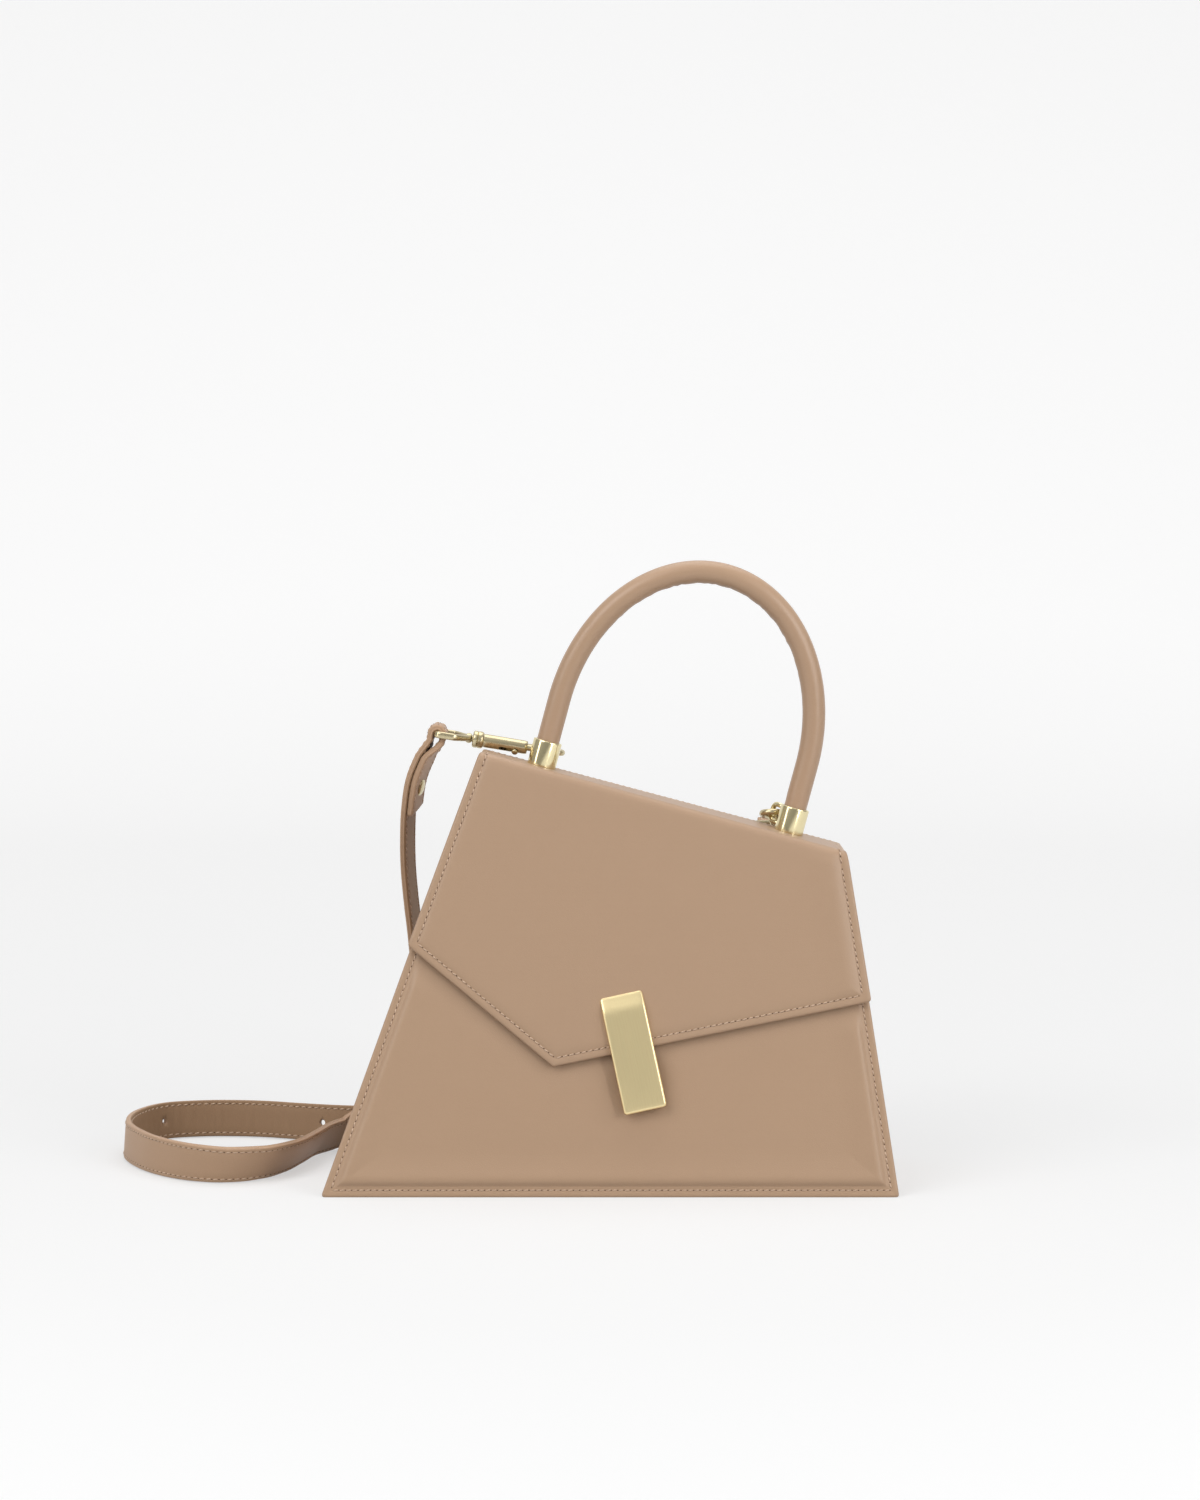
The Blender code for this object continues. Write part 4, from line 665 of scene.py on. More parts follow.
for end in ("left", "right"):
    start, way, arm, up = hook_places[end]

    def spot(along, across=0.0, high=0.0):
        """A place on the hook: along it from the strap's bar, then sideways, then up."""
        return start + way * along + arm * across + up * high

    bends = []
    for i, corner in enumerate(eye_corners):
        here = Vector(corner)
        back = (Vector(eye_corners[i - 1]) - here).normalized()
        ahead = (Vector(eye_corners[(i + 1) % 6]) - here).normalized()
        most = eye_bend if i not in (2, 3) else eye_tight_bend
        reach = min(eye_bend / math.tan(back.angle(ahead) / 2), most)
        a, b = here + back * reach, here + ahead * reach
        bends += [a * (1 - t) ** 2 + here * (2 * t * (1 - t)) + b * t * t for t in (k / 6 for k in range(7))]
    ring_points = [spot(p.x, p.y) for p in bends]
    rings, count = [], len(ring_points)
    for i, p in enumerate(ring_points):
        heading = (ring_points[(i + 1) % count] - ring_points[i - 1]).normalized()
        side_rail = ease(abs((p - start).dot(arm)), 0.0020, 0.0100)
        bar = []
        for k in range(20):
            t = 2 * math.pi * k / 20
            high, wide = math.cos(t), math.sin(t)
            round_off = 1 + 0.16 * side_rail * (1 - math.cos(4 * t)) / 2
            bar.append(p + up * (high * round_off * (eye_half_thick + 0.0002 * side_rail))
                       + heading.cross(up) * (wide * round_off * eye_half_wide))
        rings.append(bar)
    eye = skinned("hook_" + end + "_ring", rings, hook_brass, joined=True)
    post = crisp(turned("hook_" + end + "_post", start, way, post_profile, hook_brass, 24))
    post.parent = eye
    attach(eye, "bag")
    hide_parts("hook_" + end + "_eye")
    body = crisp(turned("hook_" + end + "_barrel", start, way, barrel_profile, hook_brass, 36), 40)
    thumb = (-arm - up).normalized()
    side = thumb.cross(way)
    slot_shape = skinned("slot_" + end, [[spot(along) + thumb * r + side * w for r, w in slot_section]
                                         for along in slot_ends], hook_brass)
    cut_through(body, slot_shape)
    crisp(body, 40)
    bent = rod("hook_" + end + "_arm", through([spot(*p) for p in arm_line], 3), arm_radius, hook_brass, 20)
    bent.parent = body
    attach(body, end + "_hook")
    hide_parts("hook_" + end + "_body")
    plunger = rod("hook_" + end + "_plunger", [spot(along) for along in plunger_stations], plunger_radius,
                  hook_brass, 24, ends=0.0005)
    knob = crisp(turned("hook_" + end + "_knob", spot(knob_at), thumb, knob_profile, hook_brass, 24), 50)
    knob.parent = plunger
    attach(plunger, end + "_gate")
    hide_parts("hook_" + end + "_gate")
    turns_to = [2 * math.pi * spring_turns * k / spring_steps for k in range(spring_steps + 1)]
    coil_line = [spot(spring_low + (spring_high - spring_low) * k / spring_steps,
                      spring_radius * math.cos(a), spring_radius * math.sin(a))
                 for k, a in enumerate(turns_to)]
    coil = rod("hook_" + end + "_coil", coil_line, spring_wire, spring_steel, 8)
    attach(coil, end + "_hook")
    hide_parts("hook_" + end + "_spring")
    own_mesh(coil)
    hook_pieces += [eye, post, body, bent, plunger, knob, coil]


# The bag's front and back: stiff calf leather over board, cut with a flat edge 5 mm wide that is
# sewn to the turned-out edges of the sides and base, and moulded up in a soft shoulder inside it.

# Peak is the taller end of the sloped top and low its other end; the front and back lean in by
# lean and the top falls by tilt. The mouth and the crest's edges lie a set drop under the top.
base_half, half_base_depth, peak_x, peak_z = 0.1325, 0.050, -0.0598, 0.2012
low_x, low_z, peak_half_depth = 0.1095, 0.1555, 0.012
mouth_drop, crest_drop = 0.046, 0.0026
lean = math.atan((half_base_depth - peak_half_depth) / peak_z)
tilt = math.atan((peak_z - low_z) / (low_x - peak_x))
rise = math.cos(lean)


class Plane:
    """A flat place to build on: u and v lie in it and n is the way it faces."""

    def __init__(self, origin, u, v):
        self.origin, self.u, self.v = Vector(origin), Vector(u).normalized(), Vector(v).normalized()
        self.n = self.u.cross(self.v)

    def at(self, u, v, n=0.0):
        """The point at a place on the plane, and so far off it."""
        return self.origin + self.u * u + self.v * v + self.n * n


front = Plane((0, -half_base_depth, 0), (1, 0, 0), (0, math.sin(lean), rise))
back = Plane((0, half_base_depth, 0), (-1, 0, 0), (0, -math.sin(lean), rise))
top = Plane((peak_x, 0, peak_z), (math.cos(tilt), 0, -math.sin(tilt)), (0, 1, 0))


def left_side(z):
    """How far left the bag reaches at a height."""
    return -base_half + (peak_x + base_half) * z / peak_z


def right_side(z):
    """How far right the bag reaches at a height."""
    return base_half + (low_x - base_half) * z / low_z


def crest(x):
    """The height of the sloped top at a place across the bag."""
    return peak_z - math.tan(tilt) * (x - peak_x)


def half_depth(z):
    """Half the bag's depth at a height."""
    return half_base_depth - math.tan(lean) * z


def meets(x_of, drop):
    """Height where a side of the bag meets a line a set drop under its sloped top."""
    z = peak_z / 2
    for _ in range(40):
        z = crest(x_of(z)) - drop
    return z


def shrunk(corners, amounts):
    """Move each side of a convex outline in by its own amount."""
    lines = []
    for i, corner in enumerate(corners):
        a, b = Vector(corner), Vector(corners[(i + 1) % len(corners)])
        way = (b - a).normalized()
        lines.append((a + Vector((-way.y, way.x)) * amounts[i], way))
    result = []
    for i in range(len(corners)):
        (p, d), (q, e) = lines[i - 1], lines[i]
        t = ((q - p).x * e.y - (q - p).y * e.x) / (d.x * e.y - d.y * e.x)
        result.append(p + d * t)
    return result


def edge_points(corners, radii, each, bend=6):
    """Points round an outline: rounded corners and evenly split sides, always the same number."""
    count, arcs, result = len(corners), [], []
    for i in range(count):
        here = Vector(corners[i])
        behind = (Vector(corners[i - 1]) - here).normalized()
        ahead = (Vector(corners[(i + 1) % count]) - here).normalized()
        reach = radii[i] / math.tan(behind.angle(ahead) / 2)
        a, b = here + behind * reach, here + ahead * reach
        shares = (k / bend for k in range(bend + 1))
        arcs.append([a * (1 - t) ** 2 + here * (2 * t * (1 - t)) + b * t * t for t in shares])
    for i in range(count):
        a, b = arcs[i][-1], arcs[(i + 1) % count][0]
        result += arcs[i] + [a.lerp(b, k / each) for k in range(1, each)]
    return result


def dressed(name, place, corners, profile, look, radius, field, fixed=(), each=40, relief=None):
    """A leather panel built up in rings: each (inset, height) of the profile runs round the outline.
    Field is how many rings fill the middle. Sides named in fixed keep their place, with sharp
    corners, and relief gives the height at a point."""
    sharp, least = 0.00005, 0.0008

    def inset_by(amount):
        """The same inset for each side that isn't fixed."""
        return [0.0 if i in fixed else amount for i in range(len(corners))]

    def height_at(p, height, inward):
        """The profile's height, or what the relief makes of it."""
        return relief(p, height, inward) if relief else height

    rings = []
    for inward, height in profile:
        shape = shrunk(corners, inset_by(inward))
        radii = [sharp if i in fixed or (i - 1) % len(corners) in fixed else max(radius - inward * 0.4, least)
                 for i in range(len(corners))]
        rings.append([place.at(p.x, p.y, height_at(p, height, inward))
                      for p in edge_points(shape, radii, each)])
    last_in, last_height = profile[-1]
    inner = edge_points(shrunk(corners, inset_by(last_in)), radii, each)
    heart = sum(inner, Vector((0, 0))) / len(inner)
    for k in range(1, field):
        flat = [heart + (p - heart) * (1 - k / field) for p in inner]
        rings.append([place.at(p.x, p.y, height_at(p, last_height, 1.0)) for p in flat])
    for p in (p for ring in rings for p in ring):
        p.z = max(p.z, 0.0)
    return skinned(name, rings, look)


def seam_line(place, corners, inward, height, radius, sides):
    """Where the thread runs: a set way in from the edge, as points with the way the leather faces."""
    count, bend, each = len(corners), 8, 24
    flat = edge_points(shrunk(corners, [inward] * count), [radius] * count, each, bend)
    per = bend + each
    runs = []
    for s in sides:
        part = [flat[(s * per + k) % len(flat)] for k in range(bend - 1, per + 2)]
        runs.append([(place.at(p.x, p.y, height), place.n) for p in part])
    return runs


# The flap's corners on the front: left edge, point, right edge and the two ends of the crest.
flap_corners = [(-0.0932, 0.1131 / rise), (-0.0262, 0.0585 / rise), (0.1202, 0.0878 / rise),
                (0.1097, crest(0.1097) / rise), (-0.0605, crest(-0.0605) / rise)]
boss_spot, flat_edge = Vector((0.01354, 0.05143 / rise)), 0.0052


def under_flap(p):
    """How far a point of the front lies outside the flap's outline."""
    worst = -1.0
    for a, b in zip(flap_corners, flap_corners[1:] + flap_corners[:1]):
        way = (Vector(b) - Vector(a)).normalized()
        worst = max(worst, (Vector(p) - Vector(a)).dot(Vector((way.y, -way.x))))
    return worst


def front_relief(p, height, inward):
    """Pressed flat behind the flap and under the catch, moulded up elsewhere, with a slight sag."""
    if inward < flat_edge:
        return height
    free = ease(under_flap(p), 0.0015, 0.012) * ease((p - boss_spot).length, 0.0085, 0.018)
    wave = 0.00016 * math.sin(p.x * 38.0 + p.y * 21.0) * math.cos(p.y * 33.0 - p.x * 12.0)
    return 0.0001 + (height - 0.0001 + wave * ease(inward, 0.008, 0.02)) * free


def back_relief(p, height, inward):
    """The back bellies out a little in its lower half."""
    if inward < flat_edge:
        return height
    wave = 0.00022 * math.sin(p.x * 31.0 + p.y * 18.0) * math.cos(p.y * 27.0 - p.x * 9.0)
    belly = 0.0011 * math.exp(-((p.x - 0.004) / 0.075) ** 2 - ((p.y - 0.075) / 0.055) ** 2)
    return height + (wave + belly) * ease(inward, 0.008, 0.03)


body_leather = leather("body_leather", (0.475, 0.313, 0.200, 1), (0.400, 0.255, 0.160, 1),
                       pebble=0.00062, mottle=0.20, roughness=0.36)
turned_edge = [
    (0.0006, -0.0020), (0.0001, -0.0017), (0.0, -0.0010), (0.0001, -0.0004), (0.0006, -0.00004), (0.0012, 0.0),
    (0.0026, 0.0), (0.00295, -0.00016), (0.0036, -0.00016), (0.0040, 0.0), (0.0047, 0.00002), (0.0051, 0.00016),
    (0.0056, 0.00056), (0.0062, 0.00104), (0.0069, 0.00143), (0.0077, 0.00167), (0.0087, 0.00177),
    (0.0100, 0.00170), (0.0118, 0.00148), (0.0145, 0.00118), (0.0190, 0.00090)]
body_corner, seam_inset, seam_level, seam_corner = 0.0016, 0.00328, -0.00014, 0.0008
left_mouth, right_mouth = meets(left_side, mouth_drop), meets(right_side, mouth_drop)
front_corners = [(-base_half, 0.0), (base_half, 0.0), (right_side(right_mouth), right_mouth / rise),
                 (left_side(left_mouth), left_mouth / rise)]
front_leather = dressed("front_leather", front, front_corners, turned_edge, body_leather, body_corner,
                        field=26, relief=front_relief)
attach(front_leather, "bag")
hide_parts("front_panel")
left_top, right_top = meets(left_side, crest_drop), meets(right_side, crest_drop)
back_corners = [(-base_half, 0.0), (base_half, 0.0), (-left_side(left_top), left_top / rise),
                (-right_side(right_top), right_top / rise)]
back_leather = dressed("back_leather", back, back_corners, turned_edge, body_leather, body_corner,
                       field=20, relief=back_relief)
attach(back_leather, "bag")
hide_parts("back_panel")
body_runs = seam_line(front, front_corners, seam_inset, seam_level, seam_corner, (3, 0, 1))
body_runs += seam_line(back, back_corners, seam_inset, seam_level, seam_corner, (0, 1, 2, 3))
body_stitches = sewn("body_stitches", body_runs, thread)
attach(body_stitches, "bag")

# The two sides: softer leather set in 5 mm, their long edges turned outwards and sewn to the front
# and back. They are held only along those edges, so they sink in a little along the middle. Beside
# the mouth, where no front lies on it, the turned edge is doubled so that the flap still closes on it.
outer_cover, inner_cover, foot = 0.0023 / rise, 0.0041 / rise, 0.0005
rim_in, wall_in, deep_in, doubling, side_sink = 0.0003, 0.0050, 0.0068, 0.0021, 0.0022
side_corner, side_round, doubled_from, doubled_to = 0.0012, 0.0003, 0.0008, 0.0030


def sunk(x_of, z, across):
    """How far a side has sunk in at a height and a share of its depth."""
    soft = ease(z, 0.004, 0.05) * ease(meets(x_of, crest_drop) - z, 0.002, 0.04)
    return (side_sink * soft + 0.0002 * soft * math.sin(z * 95.0)) * (1 - min(abs(across), 1.0) ** 4)


for name, x_of, sign in (("left", left_side, 1), ("right", right_side, -1)):
    limit = meets(x_of, crest_drop)
    mouth = meets(x_of, mouth_drop)
    heights = [foot + (limit - foot) * (k / 26) for k in range(27)]
    heights = sorted(heights + [mouth + doubled_from, mouth + doubled_to])
    rings = []
    for z in heights:
        outer, inner = half_depth(z) - outer_cover, half_depth(z) - inner_cover
        rim, wall, deep = x_of(z) + sign * rim_in, x_of(z) + sign * wall_in, x_of(z) + sign * deep_in
        across = [k / 9 for k in range(-9, 10)]
        doubled = outer + doubling / rise * ease(z - mouth, doubled_from, doubled_to)
        shape = [(rim, -doubled), (deep, -doubled)]
        shape += [(deep + sign * sunk(x_of, z, t), t * outer) for t in across[1:]] + [(rim, outer)]
        shape += [(rim - sign * 0.0001, (outer + inner) / 2), (rim, inner), (wall - sign * 0.0018, inner),
                  (wall - sign * 0.0006, inner - side_round), (wall, inner - side_corner)]
        shape += [(wall + sign * sunk(x_of, z, t), -t * (inner - side_corner)) for t in across[1:-1]]
        shape += [(wall, side_corner - inner), (wall - sign * 0.0006, side_round - inner),
                  (wall - sign * 0.0018, -inner), (rim, -inner), (rim - sign * 0.0001, -(outer + inner) / 2)]
        ring = [Vector((x, y, z)) for x, y in shape]
        rings.append(ring if z < limit else [Vector((p.x, p.y, crest(p.x) - crest_drop)) for p in ring])
    side = crisp(skinned(name + "_side_leather", rings, body_leather), 50)
    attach(side, "bag")
    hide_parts(name + "_gusset")

# The base: one leather with its two long edges turned down and caught in the same seams; its
# middle sags a little between them.
under, over, base_end, base_sag, base_corner, base_round = 0.0050, 0.0070, 0.0071, 0.0016, 0.0012, 0.0006
base_steps, across = 24, [k / 8 for k in range(-8, 9)]
rings = []
for k in range(base_steps + 1):
    t = k / base_steps
    x = (left_side(over) + base_end) * (1 - t) + (right_side(over) - base_end) * t
    sag = base_sag * ease(t, 0.0, 0.2) * ease(1 - t, 0.0, 0.2)
    low_out, low_in = half_depth(foot) - outer_cover, half_depth(foot) - inner_cover
    in_at, out_at = half_depth(under) - inner_cover, half_depth(over) - outer_cover
    section = [(-low_out, foot), (-low_in, foot), (-in_at, under - base_corner),
               (-in_at + 0.0004, under - 0.0003)]
    section += [(w * (in_at - base_corner), under - sag * (1 - w ** 4)) for w in across]
    section += [(in_at - 0.0004, under - 0.0003), (in_at, under - base_corner), (low_in, foot),
                (low_out, foot), (out_at, over - base_round), (out_at - base_round, over)]
    section += [(-w * (out_at - base_corner), over - sag * (1 - w ** 4)) for w in across]
    section += [(base_round - out_at, over), (-out_at, over - base_round)]
    rings.append([Vector((x, y, z)) for y, z in section])
base_leather = crisp(skinned("base_leather", rings, body_leather), 50)
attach(base_leather, "bag")
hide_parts("base_panel")


# The flap: one thick leather over a thin board, cut to a point below, with a sewn and rounded edge.
# Its upper 8 mm belong to the fold over the crest, which is the next piece.
crest_left, crest_right = front.at(*flap_corners[4]), front.at(*flap_corners[3])
along_crest = (crest_right - crest_left).normalized()
down_flap = (along_crest.cross(front.n)).normalized()
down_flap = down_flap if down_flap.z < 0 else -down_flap
over_top = (along_crest.cross(top.n)).normalized()
over_top = over_top if over_top.y > 0 else -over_top
crest_point = crest_left.lerp(crest_right, 0.5)
fold_drop, fold_back = 0.0080, 0.0060
flap_corner, lining_end = 0.0020, 0.0041
flap_seam_in, flap_seam_level, flap_seam_end, flap_seam_corner = 0.0037, 0.00398, 0.0068, 0.0010
flap_leather = leather("flap_leather", (0.469, 0.310, 0.200, 1), (0.404, 0.259, 0.164, 1),
                       pebble=0.00062, mottle=0.20, roughness=0.35)


def cut_off(piece, point, facing):
    """Cut a piece off square on the side that a plane faces, and close the cut."""
    bm = bmesh.new()
    bm.from_mesh(piece.data)
    cut = bmesh.ops.bisect_plane(bm, geom=bm.verts[:] + bm.edges[:] + bm.faces[:], plane_co=point,
                                 plane_no=facing, clear_outer=True, dist=1e-7)
    rim = [e for e in cut["geom_cut"] if isinstance(e, bmesh.types.BMEdge) and len(e.link_faces) == 1]
    bmesh.ops.holes_fill(bm, edges=rim, sides=0)
    bmesh.ops.recalc_face_normals(bm, faces=bm.faces)
    bm.to_mesh(piece.data)
    bm.free()
    return crisp(piece, 50)


def flap_relief(p, height, inward):
    """The right side is drawn up in a soft ridge inside its seam; the rest is nearly flat."""
    a, b = Vector(flap_corners[2]), Vector(flap_corners[3])
    way = (b - a).normalized()
    inside = (Vector(p) - a).dot(Vector((-way.y, way.x)))
    ridge = 0.00075 * ease(inside, 0.0046, 0.0075) * (1 - 0.7 * ease(inside, 0.009, 0.022))
    wave = 0.00012 * math.sin(p.x * 35.0 - p.y * 19.0) * math.cos(p.y * 30.0 + p.x * 14.0)
    return height + (ridge + wave) * ease(inward, 0.0042, 0.006)


flap_edge = [
    (0.0006, 0.0024), (0.0001, 0.0026), (0.0, 0.0030), (0.0001, 0.0035), (0.0005, 0.00388), (0.0012, 0.00402),
    (0.0030, 0.00408), (0.0034, 0.00392), (0.0040, 0.00392), (0.0044, 0.0041), (0.0056, 0.0042), (0.0080, 0.00425),
    (0.0110, 0.00425)]
flap = dressed("flap_outer_leather", front, flap_corners, flap_edge, flap_leather, flap_corner,
               field=24, fixed=(3,), relief=flap_relief)
cut_off(flap, crest_point + down_flap * fold_drop, -down_flap)
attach(flap, "flap")
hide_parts("flap_leather")
flap_runs = seam_line(front, flap_corners, flap_seam_in, flap_seam_level, flap_seam_corner, (4, 0, 1, 2))
flap_runs = [[(p, n) for p, n in run if (p - crest_point).dot(down_flap) > flap_seam_end]
             for run in flap_runs]
flap_stitches = sewn("flap_stitches", [run for run in flap_runs if len(run) > 1], thread)
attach(flap_stitches, "flap")
lining_edge = [(0.0018, 0.0011), (0.0015, 0.0009), (0.0015, 0.0006), (0.0018, 0.00045), (0.0030, 0.0004),
               (0.0060, 0.0004)]
flap_back = dressed("flap_lining_leather", front, flap_corners, lining_edge, body_leather, flap_corner,
                    field=3, fixed=(3,))
cut_off(flap_back, crest_point + down_flap * lining_end, -down_flap)
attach(flap_back, "flap")
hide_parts("flap_lining")


# The fold over the crest: the same leather going on from the flap, round the rounded crest and
# 6 mm on to the sloped top.

def on_side(corner, towards, drop):
    """A point down one of the flap's side edges, a set drop under the crest."""
    a, b = front.at(*flap_corners[corner]), front.at(*flap_corners[towards])
    line = (b - a).normalized()
    return a + line * (drop / line.dot(down_flap))


def height_in(profile, inset):
    """The height of an edge profile at a distance in from the edge."""
    for (near, low), (far, high) in zip(profile, profile[1:]):
        if near <= inset <= far:
            return low + (high - low) * (inset - near) / (far - near)
    return profile[-1][1]


def fold_place(station, a, b):
    """A station is a distance in from the left or right edge, or a share of what lies between."""
    side, value = station
    near, far = edge_zone / left_bite / (b - a).length, 1 - edge_zone / right_bite / (b - a).length
    if side == "left":
        return a.lerp(b, near * value / edge_zone)
    return a.lerp(b, 1 - (1 - far) * value / edge_zone if side == "right" else near + (far - near) * value)


def flap_row(station, drop, n, soft=1.0):
    """A point of the fold on the flap's side of the crest."""
    p = fold_place(station, on_side(4, 0, drop), on_side(3, 2, drop))
    flat = Vector(((p - front.origin).dot(front.u), (p - front.origin).dot(front.v)))
    inset = edge_zone if station[0] == "middle" else station[1]
    return p + front.n * (n + flap_relief(flat, 0.0, inset) * soft * ease(drop, 0.0005, fold_drop))


def top_row(station, reach, n):
    """A point of the fold on the sloped top."""
    return fold_place(station, crest_left, crest_right) + over_top * reach + top.n * n


def fold_skin(station):
    """The outer face of the fold at a station, from the sloped top down on to the flap."""
    inset = edge_zone if station[0] == "middle" else station[1]
    over, crown = height_in(flap_edge[2:], inset), height_in(top_edge[2:], inset)
    bend_start, bend_end = top_row(station, 0.0012, crown), flap_row(station, 0.0042, over)
    bend_peak = fold_place(station, crest_left, crest_right) + front.n * over + top.n * (crown + 0.0004)
    skin = [top_row(station, reach, crown) for reach in (fold_back, 0.0045, 0.0028)]
    skin += [bend_start * (1 - t) ** 2 + bend_peak * (2 * t * (1 - t)) + bend_end * t * t
             for t in (j / 10 for j in range(11))]
    return skin + [flap_row(station, drop, over) for drop in (0.0056, 0.0068, fold_drop)]


insets = (0.0, 0.0001, 0.0005, 0.0012, 0.0021, 0.0030, 0.0034, 0.0037, 0.0040, 0.0044, 0.0056, 0.0070, 0.0085)
edge_zone, fold_columns = insets[-1], 46
left_bite = along_crest.cross((on_side(4, 0, 0.01) - crest_left).normalized()).length
right_bite = along_crest.cross((on_side(3, 2, 0.01) - crest_right).normalized()).length
top_edge = [
    (0.0005, -0.0020), (0.0001, -0.0017), (0.0, -0.0008), (0.0002, -0.0001), (0.0007, 0.0003), (0.0014, 0.00045),
    (0.0026, 0.00045), (0.0029, 0.0003), (0.0034, 0.0003), (0.0037, 0.00045), (0.0045, 0.0006)]
fold_underside = ((fold_drop, 0.0024), (0.0055, 0.0024), (0.0034, 0.0022), (0.0016, 0.0008))
top_underside = ((0.0003, -0.0010), (0.0025, -0.0014), (fold_back, -0.0014))
stations = [("left", i) for i in insets] + [("middle", k / fold_columns) for k in range(1, fold_columns)]
stations += [("right", i) for i in insets[::-1]]
rings = []
for station in stations:
    rings.append(fold_skin(station) + [flap_row(station, drop, n, 0) for drop, n in fold_underside]
                 + [top_row(station, reach, n) for reach, n in top_underside])
fold = crisp(skinned("crest_fold", rings, flap_leather), 50)
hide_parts("top_panel")
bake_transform(fold)
fold_runs = []
for station in (("left", flap_seam_in), ("right", flap_seam_in)):
    line = fold_skin(station)[2:-1]
    facings = [along_crest.cross(w).normalized() for w in headings(line)]
    fold_runs.append([(p - n * 0.0001, n if n.dot(front.n + top.n) > 0 else -n)
                      for p, n in zip(line, facings)])
fold_stitches = sewn("fold_stitches", fold_runs, thread)
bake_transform(fold_stitches)

# The sloped top behind the fold: leather over the steel strip that carries the handle, turned
# down and sewn along the back crest.
near_depth, far_depth, run_long = half_depth(peak_z), half_depth(low_z), (low_x - peak_x) / math.cos(tilt)
top_corner, fold_overlap = 0.0012, 0.0001
top_seam_in, top_seam_level, top_seam_corner = 0.00315, 0.00034, 0.0010
top_corners = [(0, -near_depth), (run_long, -far_depth), (run_long, far_depth), (0, near_depth)]
top_leather = dressed("top_leather", top, top_corners, top_edge, flap_leather, top_corner,
                      field=4, fixed=(0,), each=60)
cut_off(top_leather, crest_point + over_top * (fold_back - fold_overlap), -over_top)
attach(top_leather, "bag")
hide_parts("top_panel")
top_run = seam_line(top, top_corners, top_seam_in, top_seam_level, top_seam_corner, (2,))
top_stitches = sewn("top_stitches", top_run, thread)
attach(top_stitches, "bag")


# The closure plate: a bar of solid brass with soft edges, its upper end drawn back to the leather,
# brushed along its length and lacquered. It is screwed on from behind, through the flap.

# Brushed metal: a fine noise squeezed until it makes long thin lines that run the brush's way.
brushed_metal, given, result, place = effect(
    "brushed_metal",
    (("Colour", (0.8, 0.65, 0.38, 1)), ("Line Colour", (0.7, 0.55, 0.3, 1)), ("Brush Way", (0, 0, 1)),
     ("Lines Per Metre", 2600.0), ("Roughness", 0.28)),
    ("Colour", "Roughness", "Height"))
along, long_part, squeezed = [brushed_metal.nodes.new("ShaderNodeVectorMath") for _ in range(3)]
along.operation, long_part.operation, squeezed.operation = "DOT_PRODUCT", "SCALE", "SUBTRACT"
feed(brushed_metal, along.inputs[0], place)
feed(brushed_metal, along.inputs[1], given["Brush Way"])
feed(brushed_metal, long_part.inputs[0], given["Brush Way"])
feed(brushed_metal, long_part.inputs["Scale"],
     maths(brushed_metal, "MULTIPLY", along.outputs["Value"], 0.985))
feed(brushed_metal, squeezed.inputs[0], place)
feed(brushed_metal, squeezed.inputs[1], long_part.outputs["Vector"])
lines = texture(brushed_metal, "Noise", squeezed.outputs["Vector"], Scale=given["Lines Per Metre"],
                Detail=4.0, Roughness=0.7).outputs["Fac"]
feed(brushed_metal, result["Colour"], two_shades(brushed_metal, lines, given["Colour"], given["Line Colour"]))
feed(brushed_metal, result["Roughness"],
     maths(brushed_metal, "MULTIPLY_ADD", lines, 0.20, given["Roughness"]))
feed(brushed_metal, result["Height"], lines)
plate_top, plate_bottom = Vector((0.0048, 0.09105 / rise)), Vector((0.01635, 0.0387 / rise))
plate_half_wide, plate_back, plate_face, plate_corner = 0.0100, 0.0043, 0.0072, 0.0017
plate_crown, plate_draw, plate_draw_long, plate_least = 0.0007, 0.0013, 0.0085, 0.0002
plate_way = (plate_bottom - plate_top).normalized()
plate_side = Vector((-plate_way.y, plate_way.x))
plate_heart, plate_half_long = (plate_top + plate_bottom) / 2, (plate_bottom - plate_top).length / 2


def plate_spot(along, across, n):
    """A place on the plate: along it, across it and off the front."""
    p = plate_heart + plate_way * along + plate_side * across
    return front.at(p.x, p.y, n)


def plate_level(along):
    """The face's height: very slightly crowned along its length, and drawn back at the upper end."""
    near = plate_half_long + along
    crown = plate_crown * (1 - (along / plate_half_long) ** 2)
    return plate_face - plate_crown + crown - plate_draw * (1 - ease(near, 0.0, plate_draw_long))


corners = [(-plate_half_long, -plate_half_wide), (plate_half_long, -plate_half_wide),
           (plate_half_long, plate_half_wide), (-plate_half_long, plate_half_wide)]
# Each step of the edge is a distance in and a drop under the face; the first lies on the back.
plate_edge = ((0.0003, None), (0.0, 0.0026), (0.0, 0.0010), (0.00008, 0.0007), (0.0003, 0.00034),
              (0.00062, 0.00012), (0.0010, 0.00002), (0.0013, 0.0), (0.0030, 0.0), (0.0050, 0.0), (0.0070, 0.0),
              (0.0085, 0.0))
rings = []
for inward, drop in plate_edge:
    flat = edge_points(shrunk(corners, [inward] * 4), [max(plate_corner - inward, 0.0004)] * 4, 30, 8)
    rings.append([plate_spot(p.x, p.y, plate_back if drop is None
                             else max(plate_level(p.x) - drop, plate_back + plate_least)) for p in flat])
plate_lines = tuple((front.at(*plate_top) - front.at(*plate_bottom)).normalized())
plate_brass, shader = treated("plate_brass", brushed_metal, (
    ("Colour", (0.97, 0.83, 0.49, 1)), ("Line Colour", (0.83, 0.665, 0.355, 1)), ("Brush Way", plate_lines),
    ("Roughness", 0.26)), strength=0.5, lift=0.000008)
shader["Metallic"].default_value = 1.0
plate = skinned("closure_bar", rings, plate_brass)
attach(plate, "flap")
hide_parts("closure_plate")

